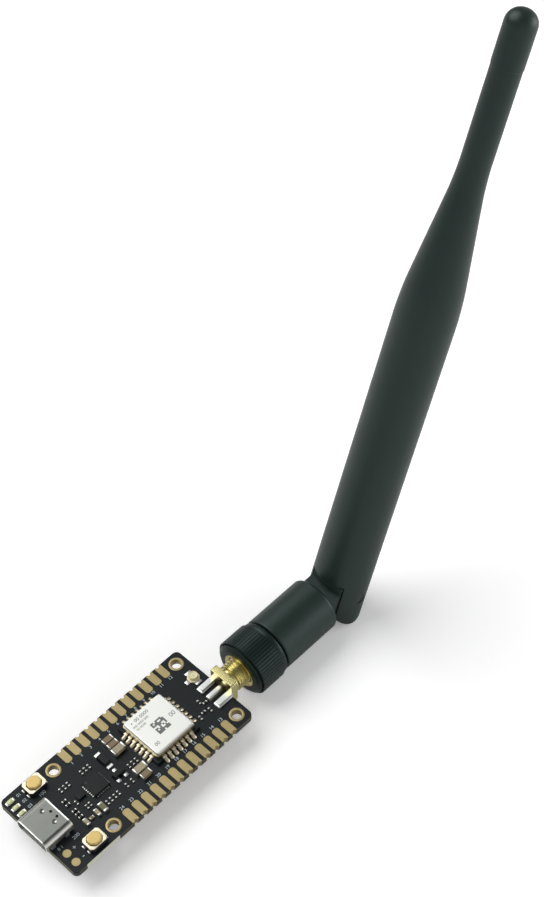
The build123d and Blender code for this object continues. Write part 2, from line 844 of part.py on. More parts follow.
for group_y in (
    socket_group_top_y,
    socket_group_upper_y,
    socket_group_middle_y,
    socket_group_low_y,
    socket_group_base_y,
):
    across_places.append((guard_x - socket_group_shift, group_y))
across_places.append((board_end_x - filter_inset, filter_series_y))
across_places.append((board_end_x - match_series_inset, match_series_y))
resistor_core = resistor_length - 2 * resistor_terminal
with BuildPart() as chip_resistors:
    with BuildSketch(top_plane):
        with Locations(*upright_places):
            Rectangle(resistor_width, resistor_core)
        with Locations(*across_places):
            Rectangle(resistor_core, resistor_width)
    extrude(amount=resistor_height)
chip_resistors.part.label = "chip_resistors"
export_step(chip_resistors.part, "parts/chip_resistors.step")

# Bright end caps of the chip resistors
resistor_cap_shift = resistor_length - resistor_terminal
with BuildPart() as resistor_caps:
    with BuildSketch(top_plane):
        with Locations(*upright_places):
            with GridLocations(1, resistor_cap_shift, 1, 2):
                Rectangle(resistor_width, resistor_terminal)
        with Locations(*across_places):
            with GridLocations(resistor_cap_shift, 1, 2, 1):
                Rectangle(resistor_terminal, resistor_width)
    extrude(amount=resistor_height)
resistor_caps.part.label = "resistor_caps"
export_step(resistor_caps.part, "parts/resistor_caps.step")

# Brown ceramic capacitors
brown_places = []
for brown_y in (brown_top_y, brown_second_y, brown_bottom_y):
    brown_places.append((column_x, brown_y))
with BuildPart() as brown_capacitors:
    with BuildSketch(top_plane):
        with Locations(*brown_places):
            Rectangle(brown_length - 2 * brown_terminal, brown_width)
    extrude(amount=brown_height)
    with BuildSketch(top_plane):
        with Locations((guard_x - small_brown_shift, small_row_y)):
            Rectangle(small_brown_length - 2 * resistor_terminal, small_brown_width)
    extrude(amount=small_brown_height)
brown_capacitors.part.label = "brown_capacitors"
export_step(brown_capacitors.part, "parts/brown_capacitors.step")

# Light ceramic capacitors
light_places = [(column_x, light_upper_y), (column_x, light_lower_y)]
small_light_places = [
    (guard_x - small_light_left_shift, small_row_y),
    (guard_x - small_light_right_shift, small_row_y),
]
with BuildPart() as light_capacitors:
    with BuildSketch(top_plane):
        with Locations(*light_places):
            Rectangle(light_length - 2 * light_terminal, light_width)
    extrude(amount=light_height)
    with BuildSketch(top_plane):
        with Locations(*small_light_places):
            Rectangle(small_light_width, small_light_length - 2 * small_light_terminal)
    extrude(amount=small_light_height)
light_capacitors.part.label = "light_capacitors"
export_step(light_capacitors.part, "parts/light_capacitors.step")

# Chip inductor
with BuildPart() as chip_inductor:
    with BuildSketch(top_plane):
        with Locations((guard_x + inductor_shift, small_row_y)):
            Rectangle(inductor_width, inductor_length - 2 * inductor_terminal)
    extrude(amount=inductor_height)
chip_inductor.part.label = "chip_inductor"
export_step(chip_inductor.part, "parts/chip_inductor.step")

# End caps of the capacitors, the inductor and the lamps
with BuildPart() as capacitor_caps:
    with BuildSketch(top_plane):
        with Locations(*brown_places):
            with GridLocations(brown_length - brown_terminal, 1, 2, 1):
                Rectangle(brown_terminal, brown_width)
    extrude(amount=brown_height)
    with BuildSketch(top_plane):
        with Locations(*light_places):
            with GridLocations(light_length - light_terminal, 1, 2, 1):
                Rectangle(light_terminal, light_width)
    extrude(amount=light_height)
    with BuildSketch(top_plane):
        with Locations(*small_light_places):
            with GridLocations(1, small_light_length - small_light_terminal, 1, 2):
                Rectangle(small_light_width, small_light_terminal)
    extrude(amount=small_light_height)
    with BuildSketch(top_plane):
        with Locations((guard_x - small_brown_shift, small_row_y)):
            with GridLocations(small_brown_length - resistor_terminal, 1, 2, 1):
                Rectangle(resistor_terminal, small_brown_width)
    extrude(amount=small_brown_height)
    with BuildSketch(top_plane):
        with Locations((guard_x + inductor_shift, small_row_y)):
            with GridLocations(1, inductor_length - inductor_terminal, 1, 2):
                Rectangle(inductor_width, inductor_terminal)
    extrude(amount=inductor_height)
capacitor_caps.part.label = "capacitor_caps"
export_step(capacitor_caps.part, "parts/capacitor_caps.step")

with BuildPart() as lamp_caps:
    with BuildSketch(top_plane):
        with Locations((lamp_x, lamp_middle_y)):
            with GridLocations(lamp_length - lamp_terminal, lamp_pitch, 2, lamp_count):
                Rectangle(lamp_terminal, lamp_width)
    extrude(amount=lamp_height / 2)
lamp_caps.part.label = "lamp_caps"
export_step(lamp_caps.part, "parts/lamp_caps.step")

# Snap-on receptacle: moulded base, gold ring with two tabs, centre post
with BuildPart() as receptacle_base:
    with BuildSketch(top_plane):
        with Locations((receptacle_x, receptacle_y)):
            Rectangle(receptacle_size, receptacle_size)
        chamfer(vertices(), length=receptacle_corner_cut)
    extrude(amount=receptacle_base_height)
receptacle_base.part.label = "receptacle_base"
export_step(receptacle_base.part, "parts/receptacle_base.step")

with BuildPart() as receptacle_ring:
    with BuildSketch(top_plane.offset(receptacle_base_height)):
        with Locations((receptacle_x, receptacle_y)):
            Circle(receptacle_ring_radius)
            Circle(receptacle_ring_radius - receptacle_ring_wall, mode=Mode.SUBTRACT)
    extrude(amount=receptacle_height - receptacle_base_height)
receptacle_ring.part.label = "receptacle_ring"
export_step(receptacle_ring.part, "parts/receptacle_ring.step")

with BuildPart() as receptacle_post:
    with BuildSketch(top_plane.offset(receptacle_base_height)):
        with Locations((receptacle_x, receptacle_y)):
            Circle(receptacle_pin_radius)
    extrude(amount=receptacle_height - receptacle_base_height - copper)
receptacle_post.part.label = "receptacle_post"
export_step(receptacle_post.part, "parts/receptacle_post.step")

# Soldered tabs of the receptacle
with BuildPart() as receptacle_tabs:
    with BuildSketch(top_plane):
        with Locations((receptacle_x, receptacle_y)):
            with GridLocations(1, receptacle_size + receptacle_tab_reach, 1, 2):
                Rectangle(receptacle_tab_width, receptacle_tab_reach)
        with Locations((receptacle_x - (receptacle_size + receptacle_land_length) / 2, receptacle_y)):
            Rectangle(receptacle_land_length, receptacle_land_width)
    extrude(amount=3 * copper)
receptacle_tabs.part.label = "receptacle_tabs"
export_step(receptacle_tabs.part, "parts/receptacle_tabs.step")

# Land under the centre contact of the jack
with BuildPart() as contact_land:
    with BuildSketch(top_plane):
        with Locations(((contact_tail_start_x + board_end_x) / 2, axis_y)):
            Rectangle(board_end_x - contact_tail_start_x, 4 * contact_tail_radius)
    extrude(amount=copper)
contact_land.part.label = "contact_land"
export_step(contact_land.part, "parts/contact_land.step")

# Jack body: square flange on the board edge, four legs, one round barrel
flange_plane = Plane(origin=(board_end_x, axis_y, axis_z), x_dir=(0, 1, 0), z_dir=(1, 0, 0))
with BuildPart() as jack_body:
    with BuildSketch(flange_plane):
        Rectangle(jack_flange_size, jack_flange_size)
    extrude(amount=jack_flange_thickness)
    with BuildSketch(flange_plane.offset(jack_flange_thickness)):
        Circle(jack_barrel_radius)
    extrude(amount=jack_barrel_length)
    chamfer(jack_body.faces().sort_by(Axis.X)[-1].edges(), length=jack_lead_chamfer)
    with BuildSketch(flange_plane):
        with Locations((0, board_top + jack_leg_height / 2 - axis_z)):
            with GridLocations(leg_spacing, 1, 2, 1):
                Rectangle(jack_leg_width, jack_leg_height)
        with Locations((0, -jack_leg_height / 2 - axis_z)):
            with GridLocations(leg_spacing, 1, 2, 1):
                Rectangle(jack_leg_width, jack_leg_height)
    extrude(amount=-jack_leg_length)
    with BuildSketch(flange_plane):
        Circle(jack_insulator_radius)
    extrude(amount=mating_x - board_end_x, mode=Mode.SUBTRACT)
    with BuildSketch(flange_plane.offset(mating_x - board_end_x)):
        Circle(jack_mouth_radius)
    extrude(amount=jack_mouth_depth, mode=Mode.SUBTRACT)
jack_body.part.label = "jack_body"
export_step(jack_body.part, "parts/jack_body.step")

# Insulator that carries the centre contact
with BuildPart() as jack_insulator:
    with BuildSketch(flange_plane):
        Circle(jack_insulator_radius)
        Circle(jack_contact_radius, mode=Mode.SUBTRACT)
    extrude(amount=mating_x - board_end_x)
jack_insulator.part.label = "jack_insulator"
export_step(jack_insulator.part, "parts/jack_insulator.step")

# Centre contact: socket inside the jack, thin tail soldered to the board
with BuildPart() as jack_contact:
    with BuildSketch(flange_plane):
        Circle(jack_contact_radius)
    extrude(amount=mating_x - board_end_x)
    with BuildSketch(flange_plane):
        Circle(contact_tail_radius)
    extrude(amount=contact_tail_start_x - board_end_x)
    with BuildSketch(flange_plane.offset(mating_x - board_end_x)):
        Circle(jack_contact_bore)
    extrude(amount=-jack_contact_depth, mode=Mode.SUBTRACT)
jack_contact.part.label = "jack_contact"
export_step(jack_contact.part, "parts/jack_contact.step")

# Solder banked up against the two upper legs
solder_base = jack_leg_width + 2 * solder_reach
solder_end = Plane(
    origin=(board_end_x, axis_y, board_top), x_dir=(0, 1, 0), z_dir=(1, 0, 0)
)
with BuildPart() as leg_solder:
    with BuildSketch(solder_end):
        with GridLocations(leg_spacing, 1, 2, 1):
            with Locations((0, solder_height / 2)):
                Trapezoid(solder_base, solder_height, solder_slope)
    extrude(amount=-(jack_leg_length + solder_reach))
    with BuildSketch(solder_end):
        with Locations((0, jack_leg_height / 2)):
            with GridLocations(leg_spacing, 1, 2, 1):
                Rectangle(jack_leg_width, jack_leg_height)
    extrude(amount=-jack_leg_length, mode=Mode.SUBTRACT)
leg_solder.part.label = "leg_solder"
export_step(leg_solder.part, "parts/leg_solder.step")

# Knurled sleeve of the coupling nut
groove_start_x = nut_front_x + nut_front_lip
with BuildPart() as nut_sleeve:
    with BuildSketch(jack_side):
        with BuildLine():
            Polyline(
                (nut_front_x, insert_radius),
                (nut_front_x, nut_face_radius),
                (groove_start_x, nut_band_radius),
                (groove_start_x, nut_band_radius - nut_groove_depth),
                (knurl_start_x, nut_band_radius - nut_groove_depth),
                (knurl_start_x, nut_crest_radius - knurl_depth),
                (knurl_end_x, nut_crest_radius - knurl_depth),
                (knurl_end_x, nut_band_radius),
                (nut_rear_x - nut_groove_depth, nut_band_radius),
                (nut_rear_x, nut_band_radius - nut_groove_depth),
                (nut_rear_x, insert_radius),
                close=True,
            )
        make_face()
    revolve(axis=jack_axis)
    knurl_points = []
    for flute in range(knurl_count):
        crest_angle = 2 * pi * flute / knurl_count
        root_angle = crest_angle + pi / knurl_count
        root_radius = nut_crest_radius - knurl_depth
        knurl_points.append((nut_crest_radius * cos(crest_angle), nut_crest_radius * sin(crest_angle)))
        knurl_points.append((root_radius * cos(root_angle), root_radius * sin(root_angle)))
    with BuildSketch(flange_plane.offset(knurl_start_x - board_end_x)):
        with BuildLine():
            Polyline(*knurl_points, close=True)
        make_face()
        Circle(nut_band_radius - nut_groove_depth, mode=Mode.SUBTRACT)
    extrude(amount=knurl_end_x - knurl_start_x)
nut_sleeve.part.label = "nut_sleeve"
export_step(nut_sleeve.part, "parts/nut_sleeve.step")

# Threaded insert of the nut, closed at the back around the plug neck
retainer_groove_radius = retainer_radius + retainer_play
with BuildPart() as nut_insert:
    with BuildSketch(jack_side):
        with BuildLine():
            Polyline(
                (nut_front_x, insert_radius),
                (nut_rear_x, insert_radius),
                (nut_rear_x, plug_neck_radius + running_clearance),
                (retainer_slot_x + retainer_width + retainer_play, plug_neck_radius + running_clearance),
                (retainer_slot_x + retainer_width + retainer_play, retainer_groove_radius),
                (retainer_slot_x - retainer_play, retainer_groove_radius),
                (retainer_slot_x - retainer_play, plug_neck_radius + running_clearance),
                (nut_wall_x, plug_neck_radius + running_clearance),
                (nut_wall_x, insert_bore),
                (nut_front_x + insert_bore_chamfer, insert_bore),
                (nut_front_x, insert_bore + insert_bore_chamfer),
                close=True,
            )
        make_face()
    revolve(axis=jack_axis)
nut_insert.part.label = "nut_insert"
export_step(nut_insert.part, "parts/nut_insert.step")

# Antenna plug: spigot in the jack, neck through the nut, head inside the base
with BuildPart() as antenna_plug:
    with BuildSketch(jack_side):
        with BuildLine():
            Polyline(
                (mating_x, plug_bore),
                (mating_x, plug_spigot_radius),
                (barrel_end_x + nut_to_barrel_gap / 2, plug_spigot_radius),
                (barrel_end_x + nut_to_barrel_gap / 2, plug_neck_radius),
                (retainer_slot_x, plug_neck_radius),
                (retainer_slot_x, retainer_neck_radius),
                (retainer_slot_x + retainer_width, retainer_neck_radius),
                (retainer_slot_x + retainer_width, plug_neck_radius),
                (plug_head_x, plug_neck_radius),
                (plug_head_x, plug_head_radius),
                (plug_end_x, plug_head_radius),
                (plug_end_x, plug_bore),
                close=True,
            )
        make_face()
    revolve(axis=jack_axis)
antenna_plug.part.label = "antenna_plug"
export_step(antenna_plug.part, "parts/antenna_plug.step")

# Insulator and centre pin of the plug
with BuildPart() as plug_insulator:
    with BuildSketch(jack_side):
        with BuildLine():
            Polyline(
                (mating_x, plug_pin_radius),
                (mating_x, plug_bore),
                (plug_end_x, plug_bore),
                (plug_end_x, plug_pin_radius),
                close=True,
            )
        make_face()
    revolve(axis=jack_axis)
plug_insulator.part.label = "plug_insulator"
export_step(plug_insulator.part, "parts/plug_insulator.step")

with BuildPart() as plug_pin:
    with BuildSketch(flange_plane.offset(mating_x - board_end_x - plug_pin_reach)):
        Circle(plug_pin_radius)
    extrude(amount=plug_end_x - mating_x + plug_pin_reach)
plug_pin.part.label = "plug_pin"
export_step(plug_pin.part, "parts/plug_pin.step")

# Retaining ring that keeps the nut on the plug
with BuildPart() as retaining_ring:
    with BuildSketch(flange_plane.offset(retainer_slot_x - board_end_x)):
        Circle(retainer_radius)
        Circle(retainer_neck_radius, mode=Mode.SUBTRACT)
    extrude(amount=retainer_width)
retaining_ring.part.label = "retaining_ring"
export_step(retaining_ring.part, "parts/retaining_ring.step")

# Washer between the base wall and the plug head
with BuildPart() as swivel_washer:
    with BuildSketch(flange_plane.offset(plug_head_x - swivel_washer_thickness - board_end_x)):
        Circle(plug_head_radius + running_clearance)
        Circle(plug_neck_radius, mode=Mode.SUBTRACT)
    extrude(amount=swivel_washer_thickness)
swivel_washer.part.label = "swivel_washer"
export_step(swivel_washer.part, "parts/swivel_washer.step")

# Swivel base: round bar with a flat-sided, round-ended tongue for the tilt hinge
with BuildPart() as swivel_base:
    with BuildSketch(flange_plane.offset(tongue_root_x - board_end_x)):
        Circle(base_radius - tongue_relief)
    extrude(amount=pin_x + 2 * tongue_end_radius - tongue_root_x)
    with BuildSketch(hinge_side):
        Circle(tongue_end_radius)
        with Locations(((tongue_root_x - pin_x) / 2, 0)):
            Rectangle(pin_x - tongue_root_x, 2 * tongue_end_radius)
    extrude(amount=tongue_half_width, both=True, mode=Mode.INTERSECT)
    with BuildSketch(jack_side):
        with Locations((base_front_x, 0)):
            Rectangle(shoulder_x - base_front_x, base_radius, align=(Align.MIN, Align.MIN))
        chamfer(vertices().sort_by(Axis.Y)[-2:].sort_by(Axis.X)[1], length=base_shoulder_chamfer)
        chamfer(vertices().group_by(Axis.X)[0].sort_by(Axis.Y)[-1], length=base_front_chamfer)
    revolve(axis=jack_axis)
    with BuildSketch(flange_plane.offset(base_front_x - board_end_x)):
        Circle(plug_neck_radius + running_clearance)
    extrude(amount=base_front_wall, mode=Mode.SUBTRACT)
    with BuildSketch(flange_plane.offset(base_wall_x - board_end_x)):
        Circle(base_cavity_radius)
    extrude(amount=base_cavity_end_x - base_wall_x, mode=Mode.SUBTRACT)
    with BuildSketch(hinge_side):
        Circle(pin_radius + pin_clearance)
    extrude(amount=base_radius, both=True, mode=Mode.SUBTRACT)
swivel_base.part.label = "swivel_base"
export_step(swivel_base.part, "parts/swivel_base.step")

# Hinge washers lying against the flats of the tongue
with BuildPart() as hinge_washers:
    with BuildSketch(hinge_side.offset(tongue_half_width)):
        Circle(hinge_washer_radius)
        Circle(pin_radius + pin_clearance, mode=Mode.SUBTRACT)
    extrude(amount=hinge_washer_thickness)
    with BuildSketch(hinge_side.offset(-tongue_half_width)):
        Circle(hinge_washer_radius)
        Circle(pin_radius + pin_clearance, mode=Mode.SUBTRACT)
    extrude(amount=-hinge_washer_thickness)
hinge_washers.part.label = "hinge_washers"
export_step(hinge_washers.part, "parts/hinge_washers.step")

# Hinge pin, pressed into the ears of the whip
with BuildPart() as hinge_pin:
    with BuildSketch(hinge_side):
        Circle(pin_radius)
    extrude(amount=whip_radius - pin_recess, both=True)
hinge_pin.part.label = "hinge_pin"
export_step(hinge_pin.part, "parts/hinge_pin.step")

# Whip sleeve: two rounded ears around the tongue, a long barrel and a slow taper
ear_join = slot_depth + whip_floor_thickness / 2
with BuildPart() as whip_sleeve:
    with BuildSketch(whip_section.offset(-2 * ear_end_radius)):
        Circle(whip_radius)
    extrude(amount=2 * ear_end_radius + ear_join)
    with BuildSketch(whip_side):
        Circle(ear_end_radius)
        with Locations((ear_join / 2, 0)):
            Rectangle(ear_join, 2 * ear_end_radius)
    extrude(amount=2 * whip_radius, both=True, mode=Mode.INTERSECT)
    with BuildSketch(whip_side):
        with Locations((slot_depth / 2 - ear_end_radius, 0)):
            Rectangle(slot_depth + 2 * ear_end_radius, 4 * ear_end_radius)
    extrude(amount=slot_half_width, both=True, mode=Mode.SUBTRACT)
    with BuildSketch(whip_side):
        with BuildLine():
            Polyline(
                (slot_depth, 0),
                (slot_depth, whip_radius),
                (whip_straight_end, whip_radius),
                (whip_taper_first, whip_radius - whip_shoulder_drop),
                (whip_taper_second, whip_thin_radius + whip_foot_rise),
                (whip_taper_end, whip_thin_radius),
                (whip_end, whip_thin_radius),
                (whip_end, 0),
                close=True,
            )
        make_face()
    revolve(axis=whip_axis)
    with BuildSketch(whip_side):
        with BuildLine():
            Polyline(
                (whip_floor, 0),
                (whip_floor, whip_radius - whip_wall),
                (whip_straight_end - whip_wall, whip_radius - whip_wall),
                (whip_taper_second, whip_tip_bore),
                (whip_end, whip_tip_bore),
                (whip_end, 0),
                close=True,
            )
        make_face()
    revolve(axis=whip_axis, mode=Mode.SUBTRACT)
    with BuildSketch(whip_side):
        Circle(pin_radius)
    extrude(amount=2 * whip_radius, both=True, mode=Mode.SUBTRACT)
whip_sleeve.part.label = "whip_sleeve"
export_step(whip_sleeve.part, "parts/whip_sleeve.step")

# Brass radiator tube and feed wire inside the whip
with BuildPart() as radiator_tube:
    with BuildSketch(whip_section.offset(whip_floor)):
        Circle(radiator_radius)
        Circle(radiator_radius - radiator_wall, mode=Mode.SUBTRACT)
    extrude(amount=radiator_end - whip_floor)
radiator_tube.part.label = "radiator_tube"
export_step(radiator_tube.part, "parts/radiator_tube.step")

with BuildPart() as feed_wire:
    with BuildSketch(whip_section.offset(whip_floor)):
        Circle(feed_wire_radius)
    extrude(amount=feed_wire_end - whip_floor)
feed_wire.part.label = "feed_wire"
export_step(feed_wire.part, "parts/feed_wire.step")

# Rounded tip cap, plugged into the thin end of the whip
tip_corner = tip_edge_radius * (1 - sin(pi / 4))
with BuildPart() as tip_cap:
    with BuildSketch(whip_side):
        with BuildLine():
            Polyline(
                (whip_end - tip_spigot_length, 0),
                (whip_end - tip_spigot_length, whip_tip_bore - tip_spigot_clearance),
                (whip_end, whip_tip_bore - tip_spigot_clearance),
                (whip_end, tip_radius),
                (tip_end - tip_edge_radius, tip_radius),
                (tip_end - tip_corner, tip_radius - tip_corner),
                (tip_end, tip_radius - tip_edge_radius),
                (tip_end, 0),
                close=True,
            )
        make_face()
    revolve(axis=whip_axis)
tip_cap.part.label = "tip_cap"
export_step(tip_cap.part, "parts/tip_cap.step")
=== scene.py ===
import bmesh
import bpy
from math import pi, radians
from mathutils import Matrix, Vector


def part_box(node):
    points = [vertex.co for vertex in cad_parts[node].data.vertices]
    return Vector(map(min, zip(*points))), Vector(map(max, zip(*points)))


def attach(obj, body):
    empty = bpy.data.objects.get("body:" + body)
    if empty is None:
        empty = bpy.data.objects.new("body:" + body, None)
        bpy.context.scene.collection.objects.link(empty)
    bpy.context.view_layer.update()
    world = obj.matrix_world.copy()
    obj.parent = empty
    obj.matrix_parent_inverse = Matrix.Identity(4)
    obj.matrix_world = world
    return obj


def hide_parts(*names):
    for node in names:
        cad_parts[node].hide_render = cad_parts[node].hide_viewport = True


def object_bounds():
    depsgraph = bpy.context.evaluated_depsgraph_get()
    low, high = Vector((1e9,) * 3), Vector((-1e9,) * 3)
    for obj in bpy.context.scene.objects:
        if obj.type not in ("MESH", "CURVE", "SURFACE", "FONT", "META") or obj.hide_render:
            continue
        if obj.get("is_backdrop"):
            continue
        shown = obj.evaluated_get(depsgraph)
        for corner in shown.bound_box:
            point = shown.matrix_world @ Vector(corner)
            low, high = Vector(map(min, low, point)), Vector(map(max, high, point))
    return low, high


bl_info = {
    "name": "Radio board with whip antenna",
    "version": (1, 0, 0),
    "blender": (4, 5, 0),
    "location": "View3D > Sidebar > Radio board",
    "description": "Builds the pieces, finishes and stage of a radio board with a jointed whip antenna",
    "category": "Object",
}

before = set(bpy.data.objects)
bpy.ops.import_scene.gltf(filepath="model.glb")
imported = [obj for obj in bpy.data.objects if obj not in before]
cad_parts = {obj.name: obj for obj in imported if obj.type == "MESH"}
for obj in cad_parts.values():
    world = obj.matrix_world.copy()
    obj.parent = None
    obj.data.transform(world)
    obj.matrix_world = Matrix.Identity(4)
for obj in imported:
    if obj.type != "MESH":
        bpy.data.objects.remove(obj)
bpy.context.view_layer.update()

MM = 0.001
BOARD = "board"
NUT = "coupling_nut"
SWIVEL = "swivel"
WHIP = "whip"


# Places that every piece shares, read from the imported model
def node_box(node):
    """The lowest and highest corner of a node"""
    low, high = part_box(node)
    return Vector(low), Vector(high)


def node_centre(node):
    """The middle of a node's box"""
    low, high = node_box(node)
    return (low + high) / 2


board_low, board_high = node_box("circuit_board")
board_top = board_high.z
jack_centre = node_centre("plug_pin")
pin_centre = node_centre("hinge_pin")
whip_lean = radians(19.8)
jack_place = Matrix.Translation((0, jack_centre.y, jack_centre.z)) @ Matrix.Rotation(pi / 2, 4, "Y")
whip_place = Matrix.Translation(pin_centre) @ Matrix.Rotation(whip_lean, 4, "Y")
pin_place = Matrix.Translation(pin_centre) @ Matrix.Rotation(-pi / 2, 4, "X")

# Sizes that more than one piece shares; a turned profile counts in mm, so the insert's radius does too
pads_in_row = 12
pad_width = 1.7 * MM
half_hole = 0.55 * MM
ring_radius = 1.65 * MM
leg_offset = 2.54 * MM
past_ears = 9 * MM
print_skin = 0.006 * MM
insert_radius = 4.1


# Settings a user would change
class BoardSettings(bpy.types.PropertyGroup):
    """Sizes and colours of the board and what is soldered to it"""

    mask_colour: bpy.props.FloatVectorProperty(
        name="Board mask", description="Colour of the black board mask",
        default=(0.058, 0.085, 0.096), min=0, max=1, size=3, subtype="COLOR_GAMMA")
    gold_colour: bpy.props.FloatVectorProperty(
        name="Pad gold", description="Colour of the gold pads",
        default=(0.64, 0.58, 0.41), min=0, max=1, size=3, subtype="COLOR_GAMMA")
    marking_colour: bpy.props.FloatVectorProperty(
        name="Markings", description="Colour of the printed markings",
        default=(0.72, 0.78, 0.80), min=0, max=1, size=3, subtype="COLOR_GAMMA")
    pad_rounding: bpy.props.FloatProperty(
        name="Pad rounding", description="Corner radius at the inner end of an edge pad",
        default=0.62 * MM, min=0, max=0.84 * MM, subtype="DISTANCE", unit="LENGTH")
    label_height: bpy.props.FloatProperty(
        name="Label height", description="Height of the pad numbers",
        default=1.05 * MM, min=0.2 * MM, max=2 * MM, subtype="DISTANCE", unit="LENGTH")
    edge_softness: bpy.props.FloatProperty(
        name="Edge softness", description="Rounding of the edges of the small parts",
        default=0.05 * MM, min=0.01 * MM, max=0.2 * MM, subtype="DISTANCE", unit="LENGTH")


class AntennaSettings(bpy.types.PropertyGroup):
    """Sizes and colours of the jack, the nut and the antenna"""

    plastic_colour: bpy.props.FloatVectorProperty(
        name="Antenna plastic", description="Colour of the moulded antenna",
        default=(0.10, 0.155, 0.14), min=0, max=1, size=3, subtype="COLOR_GAMMA")
    nut_colour: bpy.props.FloatVectorProperty(
        name="Nut plastic", description="Colour of the coupling nut",
        default=(0.06, 0.10, 0.09), min=0, max=1, size=3, subtype="COLOR_GAMMA")
    jack_colour: bpy.props.FloatVectorProperty(
        name="Jack gold", description="Colour of the gold plated jack",
        default=(0.86, 0.82, 0.58), min=0, max=1, size=3, subtype="COLOR_GAMMA")
    flute_count: bpy.props.IntProperty(
        name="Flutes", description="Number of flutes around the coupling nut",
        default=60, min=24, max=90)
    flute_depth: bpy.props.FloatProperty(
        name="Flute depth", description="Depth of a flute of the coupling nut",
        default=0.24 * MM, min=0.05 * MM, max=0.3 * MM, subtype="DISTANCE", unit="LENGTH")
    thread_pitch: bpy.props.FloatProperty(
        name="Thread pitch", description="Distance between two crests of the thread",
        default=0.7 * MM, min=0.4 * MM, max=1.2 * MM, subtype="DISTANCE", unit="LENGTH")
    thread_depth: bpy.props.FloatProperty(
        name="Thread depth", description="Depth of the thread of the jack",
        default=0.34 * MM, min=0.1 * MM, max=0.5 * MM, subtype="DISTANCE", unit="LENGTH")


class StageSettings(bpy.types.PropertyGroup):
    """Floor, lamps and camera"""

    floor_colour: bpy.props.FloatVectorProperty(
        name="Floor", description="Colour of the floor",
        default=(0.97, 0.97, 0.97), min=0, max=1, size=3, subtype="COLOR_GAMMA")
    floor_lift: bpy.props.FloatProperty(
        name="Floor lift", description="White that the camera sees on top of the light on the floor",
        default=0.20, min=0, max=1)
    key_strength: bpy.props.FloatProperty(
        name="Key lamp", description="Strength of the wide soft light from behind the board",
        default=2.35, min=0, max=20)
    key_width: bpy.props.FloatProperty(
        name="Key width", description="How wide the key lamp looks from the board",
        default=radians(58), min=0, max=pi, subtype="ANGLE", unit="ROTATION")
    side_power: bpy.props.FloatProperty(
        name="Side lamp", description="Power of the soft lamp on the right",
        default=3.2, min=0, max=100, unit="POWER")
    sky_strength: bpy.props.FloatProperty(
        name="Horizon", description="Strength of the light from the horizon",
        default=0.85, min=0, max=2)
    back_strength: bpy.props.FloatProperty(
        name="Back horizon", description="Strength of the light from the horizon behind the board",
        default=0.15, min=0, max=2)
    zenith_strength: bpy.props.FloatProperty(
        name="Zenith", description="Strength of the light from straight above",
        default=0.16, min=0, max=2)
    focal_length: bpy.props.FloatProperty(
        name="Focal length", description="Focal length of the camera in millimetres",
        default=74.802, min=20, max=200)


# Finishes
def linear(colour):
    """A picked colour as the renderer counts it"""
    return tuple(c / 12.92 if c <= 0.04045 else ((c + 0.055) / 1.055) ** 2.4 for c in colour)


def shaded(colour, share):
    """A picked colour made darker or lighter"""
    return tuple(min(1.0, c * share) for c in linear(colour)) + (1.0,)


def fed(tree, socket, value):
    """Links a socket to another one, or sets it to a plain value"""
    if isinstance(value, bpy.types.NodeSocket):
        tree.links.new(value, socket)
    else:
        socket.default_value = value


def added(tree, kind, sockets):
    """Adds a shader node with its sockets linked or set"""
    new = tree.nodes.new("ShaderNode" + kind)
    for name, value in sockets.items():
        fed(tree, new.inputs[name], value)
    return new


def noise(tree, where, scale, detail):
    """Soft clouds of a size"""
    return added(tree, "TexNoise", {"Vector": where, "Scale": scale, "Detail": detail}).outputs[0]


def reckoned(tree, operation, *values):
    """One sum on sockets or plain values"""
    one = tree.nodes.new("ShaderNodeMath")
    one.operation = operation
    for socket, value in zip(one.inputs, values):
        fed(tree, socket, value)
    return one.outputs[0]


def ranged(tree, value, sockets):
    """A value moved from one range into another"""
    return added(tree, "MapRange", {"Value": value, **sockets}).outputs["Result"]


def mixed(tree, share, first, second):
    """Two colours mixed by a share"""
    mix = tree.nodes.new("ShaderNodeMix")
    mix.data_type = "RGBA"
    for index, value in ((0, share), (6, first), (7, second)):
        fed(tree, mix.inputs[index], value)
    return mix.outputs[2]


def finish(name, colour, roughness, metallic=0.0, grain=1400.0, spread=0.07, dulling=0.06,
           relief=0.0, relief_scale=6000.0, stretch=(1.0, 1.0, 1.0), coat=0.0, glow=0.0,
           specular=0.5, tint=(1.0, 1.0, 1.0)):
    """A finish whose shade, roughness and relief all vary in the piece's own space"""
    material = bpy.data.materials.new(name)
    material.use_nodes = True
    tree = material.node_tree
    space = added(tree, "TexCoord", {})
    turn = added(tree, "Mapping", {"Vector": space.outputs["Object"], "Scale": stretch})
    where = turn.outputs["Vector"]
    clouds = noise(tree, where, grain, 5.0)
    patches = noise(tree, where, grain / 3, 3.0)
    dull_range = {"To Min": max(0.02, roughness - dulling), "To Max": min(1.0, roughness + dulling)}
    sockets = {
        "Base Color": mixed(tree, clouds, shaded(colour, 1 - spread), shaded(colour, 1 + spread)),
        "Roughness": ranged(tree, patches, dull_range),
        "Metallic": metallic,
        "Specular IOR Level": specular,
        "Specular Tint": (*tint, 1.0),
        "Coat Weight": coat,
        "Coat Roughness": 0.1,
    }
    if glow:
        sockets["Subsurface Weight"] = glow
        sockets["Subsurface Radius"] = (0.4, 0.4, 0.3)
        sockets["Subsurface Scale"] = 0.4 * MM
    if relief:
        pores = noise(tree, where, relief_scale, 2.0)
        bump = added(tree, "Bump", {"Strength": relief, "Distance": 0.03 * MM, "Height": pores})
        sockets["Normal"] = bump.outputs["Normal"]
    shader = tree.nodes["Principled BSDF"]
    for socket, value in sockets.items():
        fed(tree, shader.inputs[socket], value)
    return material


def between(tree, source, low, high):
    """A mask that is one where the source lies between two values"""
    over = reckoned(tree, "GREATER_THAN", source, low)
    under = reckoned(tree, "LESS_THAN", source, high)
    return reckoned(tree, "MULTIPLY", over, under)


